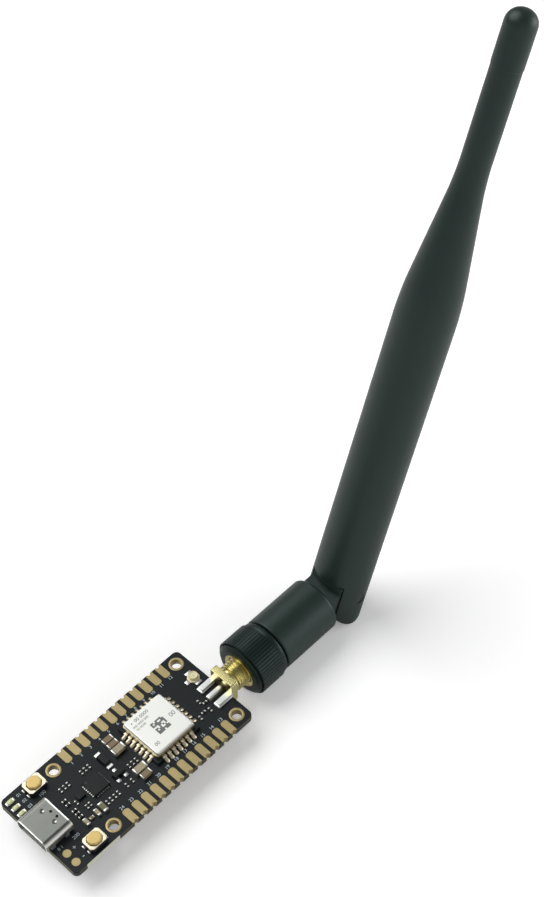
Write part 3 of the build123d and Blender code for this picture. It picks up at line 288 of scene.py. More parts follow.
def painted(tree, mask, colour):
    """Lays a second colour over the base colour where the mask is one"""
    base = tree.nodes["Principled BSDF"].inputs["Base Color"]
    before = base.links[0].from_socket
    tree.links.new(mixed(tree, mask, before, shaded(colour, 1.0)), base)


def faded(material, axis, start, end, colour):
    """Fades a finish into a second colour between two places along an axis"""
    tree = material.node_tree
    split = added(tree, "SeparateXYZ", {"Vector": tree.nodes["Texture Coordinate"].outputs["Object"]})
    mask = added(tree, "MapRange", {"Value": split.outputs[axis], "From Min": start, "From Max": end})
    mask.interpolation_type = "SMOOTHSTEP"
    painted(tree, mask.outputs["Result"], colour)


def socket_finish():
    """Brushed steel with a painted highlight: a lighter colour painted on its rounded sides below the top
    and on its front and rear rims
    """
    material = finish("socket_steel", (0.43, 0.44, 0.425), 0.33, 1.0, spread=0.05, relief=0.2,
                      stretch=(0.25, 1.0, 1.0))
    low, high = node_box("socket_shell")
    painted_highlight = (0.90, 0.90, 0.88)
    # Painted highlight: the sides below the top and the front and rear rims are painted lighter
    faded(material, "Z", high.z + 0.02 * MM, high.z - 0.42 * MM, painted_highlight)
    faded(material, "X", low.x + 0.3 * MM, low.x + 0.08 * MM, painted_highlight)
    faded(material, "X", high.x - 0.45 * MM, high.x - 0.15 * MM, painted_highlight)
    return material


def board_mask_finish(colour):
    """Black mask over copper: faint tracks, tiny vias, bare fibre on the cut edges, a pale strip on part of
    both long edges
    """
    material = finish("board_mask", colour, 0.42, grain=260.0, spread=0.12, dulling=0.05,
                      relief=0.15, relief_scale=900.0, specular=0.22)
    track_colour = tuple(c * 1.12 for c in colour)
    via_colour, via_radius = (0.24, 0.26, 0.25), 0.055
    fibre_colour, strip_colour, end_colour = (0.20, 0.20, 0.14), (0.78, 0.78, 0.72), (0.34, 0.33, 0.22)
    strip_start, strip_end = board_low.x + 3.0 * MM, board_low.x + 11.8 * MM
    cut = 0.03 * MM
    tree = material.node_tree
    where = tree.nodes["Texture Coordinate"].outputs["Object"]
    split = added(tree, "SeparateXYZ", {"Vector": where})
    tracks = added(tree, "TexBrick", {"Vector": where, "Scale": 330.0, "Mortar Size": 0.035,
                                      "Mortar Smooth": 0.2, "Brick Width": 1.3, "Row Height": 0.31})
    painted(tree, tracks.outputs["Fac"], track_colour)
    vias = added(tree, "TexVoronoi", {"Vector": where, "Scale": 420.0})
    painted(tree, between(tree, vias.outputs["Distance"], -1.0, via_radius), via_colour)
    aside = reckoned(tree, "ABSOLUTE", split.outputs["Y"])
    edge = between(tree, aside, board_high.y - cut, 1.0)
    painted(tree, edge, fibre_colour)
    # A pale strip painted on both long edges over part of their length
    strip = between(tree, split.outputs["X"], strip_start, strip_end)
    painted(tree, reckoned(tree, "MULTIPLY", edge, strip), strip_colour)
    painted(tree, between(tree, split.outputs["X"], board_low.x - MM, board_low.x + cut), end_colour)
    return material


def make_finishes(board, antenna):
    """Every finish of the part, by a plain name"""
    mask = tuple(board.mask_colour)
    gold = tuple(board.gold_colour)
    marking = tuple(board.marking_colour)
    plastic = tuple(antenna.plastic_colour)
    nut = tuple(antenna.nut_colour)
    jack = tuple(antenna.jack_colour)
    return {
        "mask": board_mask_finish(mask),
        "gold": finish("pad_gold", gold, 0.4, 0.7, grain=420.0, spread=0.14, relief=0.12),
        "marking": finish("printed_marking", marking, 0.6, grain=4000.0, spread=0.15),
        "socket": socket_finish(),
        "black": finish("black_moulding", (0.07, 0.075, 0.08), 0.5, spread=0.15, relief=0.5),
        "chip": finish("chip_resin", (0.06, 0.075, 0.08), 0.42, specular=0.25, grain=700.0, spread=0.12,
                       relief=0.4, relief_scale=9000.0),
        "bright": finish("switch_frame", (0.86, 0.83, 0.74), 0.34, 0.85, spread=0.06, relief=0.08),
        "plunger": finish("switch_plunger", (0.84, 0.73, 0.45), 0.42, 0.35, spread=0.06, relief=0.3),
        "lamp": finish("lamp_body", (0.88, 0.88, 0.82), 0.4, spread=0.04),
        "lens": finish("lamp_lens", (0.80, 0.82, 0.60), 0.2, spread=0.06, coat=0.5, glow=0.3),
        "shield": finish("shield_can", (0.88, 0.885, 0.865), 0.40, 0.75, grain=500.0, spread=0.025,
                         dulling=0.04, relief=0.12, relief_scale=2500.0),
        "cream_gold": finish("receptacle_gold", (0.93, 0.89, 0.68), 0.35, 0.0, spread=0.08, relief=0.1),
        "foot": finish("shield_foot", (0.74, 0.70, 0.60), 0.32, 1.0, grain=500.0, spread=0.05, relief=0.2),
        "shield_mark": finish("shield_marking", (0.42, 0.43, 0.42), 0.6, spread=0.1),
        "solder": finish("solder", (0.86, 0.87, 0.86), 0.3, 0.9, grain=1500.0, spread=0.06, relief=0.12,
                         relief_scale=1500.0),
        "tin": finish("tinned_cap", (0.86, 0.86, 0.83), 0.32, 0.9, grain=2500.0, spread=0.1, relief=0.3),
        "module_pad": finish("module_pad", (0.84, 0.80, 0.70), 0.33, 0.9, spread=0.06, relief=0.12),
        "resistor": finish("resistor_body", (0.10, 0.105, 0.11), 0.5, spread=0.15, relief=0.2),
        "brown": finish("ceramic_brown", (0.50, 0.43, 0.33), 0.55, grain=2500.0, spread=0.12, relief=0.3),
        "light": finish("ceramic_light", (0.64, 0.60, 0.49), 0.55, grain=2500.0, spread=0.1, relief=0.3),
        "olive": finish("inductor_body", (0.42, 0.41, 0.28), 0.5, spread=0.12, relief=0.3),
        "waxy": finish("white_insulator", (0.90, 0.90, 0.87), 0.45, spread=0.03, glow=0.2),
        "receptacle": finish("receptacle_base", (0.94, 0.91, 0.78), 0.5, spread=0.05, relief=0.2),
        "jack": finish("jack_gold", jack, 0.26, 1.0, grain=500.0, spread=0.05, relief=0.12,
                       relief_scale=2600.0),
        "nut": finish("nut_plastic", nut, 0.40, grain=700.0, spread=0.08, relief=0.25,
                      relief_scale=4200.0, specular=0.38, tint=(0.72, 0.95, 0.92)),
        "brass": finish("nut_brass", (0.84, 0.78, 0.56), 0.28, 1.0, spread=0.08, relief=0.2),
        "steel": finish("plain_steel", (0.62, 0.62, 0.60), 0.35, 1.0, spread=0.06, relief=0.2),
        "antenna": finish("antenna_plastic", plastic, 0.42, grain=520.0, spread=0.05, dulling=0.05,
                          relief=0.3, relief_scale=3800.0, specular=0.42, tint=(0.85, 1.0, 0.96)),
        "copper": finish("radiator_brass", (0.76, 0.62, 0.40), 0.35, 1.0, spread=0.1, relief=0.2),
    }


finishes = {}


# Shapes
def block(bm, low, high):
    """A block between two corners"""
    low, high = Vector(low), Vector(high)
    place = Matrix.Translation((low + high) / 2) @ Matrix.Diagonal((*(high - low), 1.0))
    bmesh.ops.create_cube(bm, size=1.0, matrix=place)


def rod(bm, radius, start, length, place, sides):
    """A round bar along the local Z axis of a place"""
    centre = place @ Matrix.Translation((0, 0, start + length / 2))
    bmesh.ops.create_cone(bm, cap_ends=True, segments=sides, radius1=radius, radius2=radius,
                          depth=length, matrix=centre)


def turned(profile, place, steps):
    """Spins a closed profile of (height, radius) stations, in mm, around the local Z axis of a place.
    A station may carry a rounding and its number of steps."""
    bm = bmesh.new()
    points = [bm.verts.new((station[1] * MM, 0, station[0] * MM)) for station in profile]
    for first, second in zip(points, points[1:] + points[:1]):
        bm.edges.new((first, second))
    for point, station in zip(points, profile):
        if len(station) > 2:
            bmesh.ops.bevel(bm, geom=[point], offset=station[2] * MM, offset_type="OFFSET",
                            segments=station[3], profile=0.5, affect="VERTICES", material=-1,
                            clamp_overlap=True)
    bmesh.ops.spin(bm, geom=bm.verts[:] + bm.edges[:], cent=(0, 0, 0), axis=(0, 0, 1), dvec=(0, 0, 0),
                   angle=2 * pi, steps=steps, use_merge=True, use_duplicate=False)
    bmesh.ops.remove_doubles(bm, verts=bm.verts, dist=1e-8)
    bmesh.ops.dissolve_degenerate(bm, edges=bm.edges, dist=1e-8)
    bmesh.ops.transform(bm, matrix=place, verts=bm.verts)
    return bm


def edges_along(bm, axis):
    """Edges that run along one axis"""
    chosen = []
    for edge in bm.edges:
        run = edge.verts[1].co - edge.verts[0].co
        if run.length > 0 and abs(run[axis]) > 0.999 * run.length:
            chosen.append(edge)
    return chosen


def rounded_off(bm, edges, width, steps):
    """Rounds edges to a width"""
    bmesh.ops.bevel(bm, geom=edges, offset=width, offset_type="OFFSET", segments=steps, profile=0.5,
                    affect="EDGES", material=-1, clamp_overlap=True)


def loose(bm, name):
    """A bare object around a bmesh, for use as a cutter"""
    bmesh.ops.recalc_face_normals(bm, faces=bm.faces)
    mesh = bpy.data.meshes.new(name)
    bm.to_mesh(mesh)
    bm.free()
    thing = bpy.data.objects.new(name, mesh)
    bpy.context.scene.collection.objects.link(thing)
    return thing


def applied(thing):
    """Leaves a plain mesh in place of an object's modifiers"""
    if thing.modifiers:
        before = thing.data
        graph = bpy.context.evaluated_depsgraph_get()
        after = bpy.data.meshes.new_from_object(thing.evaluated_get(graph))
        thing.modifiers.clear()
        thing.data = after
        after.name = before.name
        bpy.data.meshes.remove(before)


def worked(thing, cuts=(), keeps=(), joins=(), soft=0.0, steps=2, crease=35.0):
    """Joins, trims, cuts and softens an object, and leaves a plain mesh"""
    helpers = []
    for operation, shapes in (("UNION", joins), ("INTERSECT", keeps), ("DIFFERENCE", cuts)):
        for shape in shapes:
            modifier = thing.modifiers.new("shape", "BOOLEAN")
            modifier.operation = operation
            modifier.solver = "EXACT"
            modifier.object = shape
            helpers.append(shape)
    if soft:
        modifier = thing.modifiers.new("soft", "BEVEL")
        modifier.width = soft
        modifier.segments = steps
        modifier.limit_method = "ANGLE"
        modifier.angle_limit = radians(crease)
        modifier.use_clamp_overlap = True
    applied(thing)
    for helper in helpers:
        mesh = helper.data
        bpy.data.objects.remove(helper)
        bpy.data.meshes.remove(mesh)
    return thing


def evened(thing):
    """Lets the large faces rule the shading, so that flat ground stays flat"""
    modifier = thing.modifiers.new("even", "WEIGHTED_NORMAL")
    modifier.keep_sharp = True
    modifier.weight = 80
    applied(thing)


def piece(bm, name, material, body, nodes=(), cuts=(), keeps=(), soft=0.0, steps=2,
          crease=35.0, smooth=42.0):
    """A finished piece with its material, its body and the nodes that it stands for"""
    thing = worked(loose(bm, name), cuts=cuts, keeps=keeps, soft=soft, steps=steps, crease=crease)
    thing.data.shade_smooth()
    thing.data.set_sharp_from_angle(angle=radians(smooth))
    evened(thing)
    thing.data.materials.clear()
    thing.data.materials.append(finishes[material])
    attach(thing, body)
    if nodes:
        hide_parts(*nodes)


def copied(node):
    """A merged copy of a node's mesh with its flat faces whole again"""
    bm = bmesh.new()
    bm.from_mesh(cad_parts[node].data)
    bmesh.ops.remove_doubles(bm, verts=bm.verts, dist=1e-6)
    bmesh.ops.dissolve_limit(bm, angle_limit=radians(2), verts=bm.verts, edges=bm.edges)
    return bm


def solids_of(node):
    """Corners of each separate solid of a node"""
    bm = copied(node)
    corners = []
    for vert in bm.verts:
        if vert.tag:
            continue
        vert.tag = True
        waiting = [vert]
        places = []
        while waiting:
            one = waiting.pop()
            places.append(one.co.copy())
            for edge in one.link_edges:
                other = edge.other_vert(one)
                if not other.tag:
                    other.tag = True
                    waiting.append(other)
        low = Vector([min(c) for c in zip(*places)])
        high = Vector([max(c) for c in zip(*places)])
        corners.append((low, high))
    bm.free()
    return corners


def joined(bm, other):
    """Moves all of one mesh into another"""
    spare = bpy.data.meshes.new("spare")
    other.to_mesh(spare)
    other.free()
    bm.from_mesh(spare)
    bpy.data.meshes.remove(spare)


def softened(node, name, material, body, width, steps=2):
    """A node's own shape with its edges rounded"""
    piece(copied(node), name, material, body, (node,), soft=width, steps=steps)


def lettering(bm, words, x, y, z, size):
    """Adds plain figures, centred on a point, to a mesh"""
    curve = bpy.data.curves.new("words", "FONT")
    curve.body = words
    curve.size = size
    curve.align_x = "CENTER"
    curve.align_y = "CENTER"
    curve.extrude = print_skin
    holder = bpy.data.objects.new("words", curve)
    bpy.context.scene.collection.objects.link(holder)
    graph = bpy.context.evaluated_depsgraph_get()
    mesh = bpy.data.meshes.new_from_object(holder.evaluated_get(graph))
    mesh.transform(Matrix.Translation((x, y, z + print_skin)))
    bm.from_mesh(mesh)
    bpy.data.objects.remove(holder)
    bpy.data.meshes.remove(mesh)
    bpy.data.curves.remove(curve)


def dressed(node, material):
    """A finish on a node that keeps its own shape"""
    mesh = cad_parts[node].data
    mesh.materials.clear()
    mesh.materials.append(finishes[material])


# Operators
class RADIO_OT_finishes(bpy.types.Operator):
    """Make the finishes and lay them on the nodes that keep their own shape"""

    bl_idname = "radio.finishes"
    bl_label = "Finishes"

    def execute(self, context):
        finishes.update(make_finishes(context.scene.radio_board, context.scene.radio_antenna))
        kept = {
            "waxy": ("jack_insulator", "plug_insulator"),
            "jack": ("plug_pin", "antenna_plug"),
            "tin": ("jack_contact", "radio_crystal"),
            "steel": ("retaining_ring", "hinge_washers"),
            "copper": ("radiator_tube", "feed_wire"),
            "chip": ("radio_chip",),
            "bright": ("switch_domes",),
            "gold": ("socket_contacts",),
            "cream_gold": ("receptacle_post",),
            "black": ("socket_block",),
            "antenna": ("swivel_washer", "hinge_pin"),
        }
        for name, nodes in kept.items():
            for node in nodes:
                dressed(node, name)
        return {"FINISHED"}


def pad_columns():
    """Centres of the edge pads along X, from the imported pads"""
    low, high = node_box("edge_pads")
    first = low.x + pad_width / 2
    pitch = (high.x - low.x - pad_width) / (pads_in_row - 1)
    return [first + column * pitch for column in range(pads_in_row)]


def ring_centres():
    """Centres of the four mounting rings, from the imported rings"""
    low, high = node_box("hole_rings")
    lengthwise = (low.x + ring_radius, high.x - ring_radius)
    across = (low.y + ring_radius, high.y - ring_radius)
    return [(x, y) for x in lengthwise for y in across]


def vertices(made):
    """The vertices among what an operator has made"""
    return [part for part in made if isinstance(part, bmesh.types.BMVert)]


class RADIO_OT_laminate(bpy.types.Operator):
    """Cut the board from its panel, with half holes along both long edges"""

    bl_idname = "radio.laminate"
    bl_label = "Board"

    def execute(self, context):
        corner_radius = 1.2 * MM
        overrun = 0.5 * MM
        bm = bmesh.new()
        block(bm, board_low, board_high)
        rounded_off(bm, edges_along(bm, 2), corner_radius, 8)
        cutter = bmesh.new()
        depth = board_high.z - board_low.z + 2 * overrun
        for x in pad_columns():
            for y in (board_low.y, board_high.y):
                rod(cutter, half_hole, -overrun, depth, Matrix.Translation((x, y, board_low.z)), 24)
        for x, y in ring_centres():
            rod(cutter, ring_radius, -overrun, depth, Matrix.Translation((x, y, board_low.z)), 64)
        piece(bm, "board_laminate", "mask", BOARD, ("circuit_board",),
              cuts=(loose(cutter, "holes"),), soft=0.04 * MM, crease=60)
        return {"FINISHED"}


class RADIO_OT_gold(bpy.types.Operator):
    """Lay the gold: edge pads, mounting rings, battery pads and contact land"""

    bl_idname = "radio.gold"
    bl_label = "Gold pads"

    def execute(self, context):
        self.edge_pads(context.scene.radio_board)
        self.rings()
        softened("battery_pads", "battery_lands", "gold", BOARD, 0.015 * MM)
        softened("contact_land", "centre_land", "gold", BOARD, 0.01 * MM)
        return {"FINISHED"}

    def edge_pads(self, settings):
        """One pad that wraps the board's edge and its half hole, copied along both edges"""
        pad_length = 3.5 * MM
        plated_hole = 0.41 * MM
        low, high = node_box("edge_pads")
        columns = pad_columns()
        first = columns[0]
        half = pad_width / 2
        inner = board_high.y - pad_length
        hole = Matrix.Translation((first, board_high.y, low.z))
        depth = high.z - low.z + 2 * MM
        bm = bmesh.new()
        block(bm, (first - half, inner, low.z), (first + half, board_high.y, high.z))
        ends = [e for e in edges_along(bm, 2) if e.verts[0].co.y < inner + 0.1 * MM]
        rounded_off(bm, ends, settings.pad_rounding, 6)
        core = bmesh.new()
        block(core, (first - MM, inner - MM, board_low.z), (first + MM, board_high.y + MM, board_high.z))
        barrel = bmesh.new()
        rod(barrel, half_hole, -MM, depth, hole, 24)
        core_thing = worked(loose(core, "core"), cuts=(loose(barrel, "barrel"),))
        drill = bmesh.new()
        rod(drill, plated_hole, -MM, depth, hole, 24)
        pad = worked(loose(bm, "pad"), cuts=(core_thing, loose(drill, "drill")), soft=0.025 * MM, crease=50)
        row = bmesh.new()
        row.from_mesh(pad.data)
        bpy.data.objects.remove(pad)
        seed = row.verts[:] + row.edges[:] + row.faces[:]
        for x in columns[1:]:
            made = bmesh.ops.duplicate(row, geom=seed)["geom"]
            bmesh.ops.translate(row, vec=(x - first, 0, 0), verts=vertices(made))
        made = bmesh.ops.duplicate(row, geom=row.verts[:] + row.edges[:] + row.faces[:])["geom"]
        bmesh.ops.scale(row, vec=(1, -1, 1), verts=vertices(made))
        piece(row, "edge_pads_gold", "gold", BOARD, ("edge_pads",))

    def rings(self):
        """The plated rings of the mounting holes"""
        bore = 1.1
        edge = ring_radius / MM
        low, high = node_box("hole_rings")
        thickness = high.z / MM - low.z / MM
        rings = bmesh.new()
        for x, y in ring_centres():
            joined(rings, turned([(0, bore, 0.06, 3), (0, edge, 0.03, 2), (thickness, edge, 0.03, 2),
                                  (thickness, bore, 0.06, 3)], Matrix.Translation((x, y, low.z)), 64))
        piece(rings, "mounting_rings", "gold", BOARD, ("hole_rings",))


class RADIO_OT_socket(bpy.types.Operator):
    """Fold the shell of the data socket"""

    bl_idname = "radio.socket"
    bl_label = "Data socket"

    def execute(self, context):
        shell_rounding = 1.28 * MM
        sheet = 0.31 * MM
        hole_radius = 0.3 * MM
        dent_ball = 0.9 * MM
        dent_lift = 0.72 * MM
        low, high = node_box("socket_shell")
        rear = high.x
        middle = (low + high) / 2
        bm = bmesh.new()
        block(bm, low, high)
        ends = [f for f in bm.faces if abs(f.normal.x) > 0.9]
        bmesh.ops.delete(bm, geom=ends, context="FACES_ONLY")
        rounded_off(bm, edges_along(bm, 0), shell_rounding, 7)
        bmesh.ops.recalc_face_normals(bm, faces=bm.faces)
        bmesh.ops.solidify(bm, geom=bm.faces[:], thickness=sheet)
        holes = bmesh.new()
        for back, aside in ((1.3, 0.7), (1.2, -1.0)):
            place = Matrix.Translation((rear - back * MM, middle.y + aside * MM, 0))
            rod(holes, hole_radius, high.z - MM, 2 * MM, place, 20)
        dents = bmesh.new()
        for back, aside in ((2.45, 1.95), (2.25, -1.55)):
            place = Matrix.Translation((rear - back * MM, middle.y + aside * MM, high.z + dent_lift))
            bmesh.ops.create_uvsphere(dents, u_segments=24, v_segments=16, radius=dent_ball, matrix=place)
        piece(bm, "socket_sleeve", "socket", BOARD, ("socket_shell",),
              cuts=(loose(holes, "holes"), loose(dents, "dents")), soft=0.07 * MM, steps=3)
        self.rear_tab(middle, high)
        self.feet(low, middle, high)
        return {"FINISHED"}

    def rear_tab(self, middle, high):
        """The bright tab folded down at the rear"""
        thickness, left, right = 0.3 * MM, 1.65 * MM, 1.75 * MM
        below, above = 0.62 * MM, 0.02 * MM
        tab = bmesh.new()
        block(tab, (high.x - thickness, middle.y - left, high.z - below),
              (high.x, middle.y + right, high.z - above))
        piece(tab, "socket_rear_tab", "tin", BOARD, (), soft=0.12 * MM, steps=3)

    def feet(self, low, middle, high):
        """The four soldered feet at the sides"""
        end_distance = 1.75 * MM
        half_length = 0.55 * MM
        foot_width = 0.5 * MM
        foot_height = 1.2 * MM
        feet = bmesh.new()
        for x in (low.x + end_distance, high.x - end_distance):
            for side in (-1, 1):
                y = middle.y + side * (high.y - low.y) / 2
                sides = sorted((y, y - side * foot_width))
                block(feet, (x - half_length, sides[0], board_top),
                      (x + half_length, sides[1], board_top + foot_height))
        piece(feet, "socket_feet", "solder", BOARD, (), soft=0.12 * MM, steps=3)


class RADIO_OT_switches(bpy.types.Operator):
    """Build the two push switches and their plungers"""

    bl_idname = "radio.switches"
    bl_label = "Push switches"

    def execute(self, context):
        softness = context.scene.radio_board.edge_softness
        rounding = 0.16 * MM
        softened("switch_bases", "switch_blocks", "black", BOARD, softness)
        softened("switch_covers", "switch_frames", "bright", BOARD, softness)
        softened("switch_terminals", "switch_feet", "tin", BOARD, 0.04 * MM)
        softened("reset_plunger", "reset_button_top", "plunger", "reset_button", rounding, 4)
        softened("boot_plunger", "boot_button_top", "plunger", "boot_button", rounding, 4)
        return {"FINISHED"}


class RADIO_OT_lamps(bpy.types.Operator):
    """Build the three indicator lamps"""

    bl_idname = "radio.lamps"
    bl_label = "Indicator lamps"

    def execute(self, context):
        softened("lamp_bases", "lamp_bodies", "lamp", BOARD, 0.03 * MM)
        softened("lamp_lenses", "lamp_windows", "lens", BOARD, 0.07 * MM, 3)
        softened("lamp_caps", "lamp_ends", "tin", BOARD, 0.04 * MM)
        return {"FINISHED"}


class RADIO_OT_module(bpy.types.Operator):
    """Build the radio module, its pads and its drawn can"""

    bl_idname = "radio.module"
    bl_label = "Radio module"

    def execute(self, context):
        softened("module_board", "module_laminate", "mask", BOARD, 0.02 * MM)
        softened("module_pads", "module_edge_pads", "module_pad", BOARD, 0.02 * MM)
        self.solder()
        low, high = node_box("module_shield")
        self.can(low, high)
        self.marks(low, high)
        return {"FINISHED"}

    def solder(self):
        """A rounded bank of solder that slopes from each pad down to its land"""
        middle = node_centre("module_board")
        pad_top = node_box("module_pads")[1].z
        root_depth = 0.45 * MM
        round_end = 0.38 * MM
        fall = 0.42
        solder = bmesh.new()
        for start, end in solids_of("module_lands"):
            axis = 0 if end.x - start.x > end.y - start.y else 1
            bank = bmesh.new()
            block(bank, (start.x, start.y, start.z - root_depth), (end.x, end.y, pad_top + 0.02 * MM))
            rounded_off(bank, bank.edges[:], round_end, 4)
            outwards = 1 if (start + end)[axis] / 2 > middle[axis] else -1
            slope = Matrix.Identity(4)
            slope[2][axis] = -fall * outwards
            root = Matrix.Translation(-(start if outwards > 0 else end))
            bmesh.ops.transform(bank, matrix=root.inverted() @ slope @ root, verts=bank.verts)
            joined(solder, bank)
        piece(solder, "module_solder", "module_pad", BOARD, ("module_lands",), smooth=60)

    def can(self, low, high):
        """The drawn lid over its stepped frame"""
        inset, lift = 0.16 * MM, 0.1 * MM
        lid_corner, lid_shoulder = 0.6 * MM, 0.26 * MM
        frame_corner, frame_height = 0.55 * MM, 0.95 * MM
        lid = bmesh.new()
        block(lid, (low.x + inset, low.y + inset, low.z + lift),
              (high.x - inset, high.y - inset, high.z))
        rounded_off(lid, edges_along(lid, 2), lid_corner, 6)
        top = [e for e in lid.edges if all(abs(v.co.z - high.z) < 1e-6 for v in e.verts)]
        rounded_off(lid, top, lid_shoulder, 4)
        piece(lid, "shield_lid", "shield", BOARD, ("module_shield",), soft=0.02 * MM)
        rim = bmesh.new()
        block(rim, low, (high.x, high.y, low.z + frame_height))
        rounded_off(rim, edges_along(rim, 2), frame_corner, 5)
        piece(rim, "shield_frame", "foot", BOARD, (), soft=0.05 * MM)

    def marks(self, low, high):
        """Plain figures, a dot and a field of squares on the lid"""
        centre = (low + high) / 2
        first_line = centre.y + 3.87 * MM
        dot_radius, dot_distance = 0.17 * MM, 1.45 * MM
        cells, cell = 8, 0.4 * MM
        marks = bmesh.new()
        dot_place = Matrix.Translation((low.x + dot_distance, first_line, 0))
        rod(marks, dot_radius, high.z, print_skin, dot_place, 20)
        corner = Vector((centre.x - 1.5 * MM, centre.y - 2.2 * MM, high.z))
        for column in range(cells):
            for line in range(cells):
                border = column in (0, cells - 1) or line in (0, cells - 1)
                if border:
                    filled = (column + line) % 5 < 4
                else:
                    filled = (3 * column + 5 * line + column * line) % 4 < 2
                if filled:
                    start = corner + Vector((column * cell, line * cell, 0))
                    block(marks, start, start + Vector((cell, cell, print_skin)))
        small = 0.75 * MM
        lettering(marks, "00 0000", centre.x - 1.2 * MM, first_line, high.z, 1.15 * MM)
        lettering(marks, "000 0000 000", centre.x - 2.3 * MM, centre.y + 2.8 * MM, high.z, small)
        lettering(marks, "00 0000", centre.x - 2.9 * MM, centre.y + 1.95 * MM, high.z, small)
        lettering(marks, "00", centre.x + 3.6 * MM, centre.y - 0.4 * MM, high.z, 1.5 * MM)
        lettering(marks, "00", centre.x - 3.4 * MM, centre.y - 3.3 * MM, high.z, 1.2 * MM)
        piece(marks, "shield_marks", "shield_mark", BOARD, ())


class RADIO_OT_small_parts(bpy.types.Operator):
    """Build the chips, capacitors, resistors and the inductor"""

    bl_idname = "radio.small_parts"
    bl_label = "Small parts"

    def execute(self, context):
        softness = context.scene.radio_board.edge_softness
        rows = (
            ("bridge_chip", "bridge_body", "chip", "black_moulding", softness),
            ("bridge_lands", "bridge_solder", "tin", "solder", 0.02 * MM),
            ("guard_chip", "guard_body", "chip", "black_moulding", softness),
            ("diode_body", "diode_case", "chip", "black_moulding", softness),
            ("diode_terminals", "diode_feet", "solder", "solder", 0.08 * MM),
            ("regulator_body", "regulator_case", "chip", "black_moulding", softness),
            ("regulator_legs", "regulator_feet", "solder", "solder", 0.08 * MM),
            ("chip_resistors", "resistor_bodies", "resistor", "resistor_black", 0.025 * MM),
            ("resistor_caps", "resistor_ends", "tin", "solder", 0.06 * MM),
            ("brown_capacitors", "brown_bodies", "brown", "ceramic_brown", 0.04 * MM),
            ("light_capacitors", "light_bodies", "light", "ceramic_light", 0.04 * MM),
            ("chip_inductor", "inductor_block", "olive", "inductor_olive", 0.06 * MM),
            ("capacitor_caps", "capacitor_ends", "tin", "solder", 0.09 * MM),
        )
        for node, name, material, slot, width in rows:
            softened(node, name, material, BOARD, width)
        dot_radius, corner_distance = 0.22 * MM, 0.6 * MM
        low, high = node_box("bridge_chip")
        place = Matrix.Translation((low.x + corner_distance, high.y - corner_distance, 0))
        dot = bmesh.new()
        rod(dot, dot_radius, high.z, print_skin, place, 20)
        piece(dot, "bridge_dot", "resistor", BOARD, ())
        return {"FINISHED"}


class RADIO_OT_receptacle(bpy.types.Operator):
    """Build the snap-on receptacle"""

    bl_idname = "radio.receptacle"
    bl_label = "Receptacle"

    def execute(self, context):
        softened("receptacle_base", "receptacle_block", "receptacle", BOARD, 0.05 * MM)
        low, high = node_box("receptacle_ring")
        centre = (low + high) / 2
        tall = (high.z - low.z) / MM
        bore, waist, lip = 0.8, 0.92, 1.0
        post_bore, bed_radius = 0.25, bore + 0.01
        bed_height, sunk = 0.8 * tall, 0.05
        place = Matrix.Translation((centre.x, centre.y, low.z))
        collar = turned([(0, bore), (0, lip, 0.03, 2), (tall * 0.55, waist, 0.05, 2),
                         (tall * 0.8, lip, 0.06, 3), (tall, lip - 0.05, 0.05, 3), (tall, bore, 0.04, 2)],
                        place, 48)
        piece(collar, "receptacle_collar", "cream_gold", BOARD, ("receptacle_ring",))
        bed = turned([(-sunk, post_bore), (-sunk, bed_radius), (bed_height, bed_radius),
                      (bed_height, post_bore)], place, 32)
        piece(bed, "receptacle_bed", "receptacle", BOARD, ())
        softened("receptacle_tabs", "receptacle_feet", "solder", BOARD, 0.03 * MM)
        return {"FINISHED"}


def thread(start, end, pitch, root, crest):
    """Stations of a thread between two heights"""
    stations = []
    height = start
    while height + pitch < end:
        stations += [(height + pitch * 0.12, root), (height + pitch * 0.44, crest),
                     (height + pitch * 0.56, crest), (height + pitch * 0.88, root)]
        height += pitch
    return stations


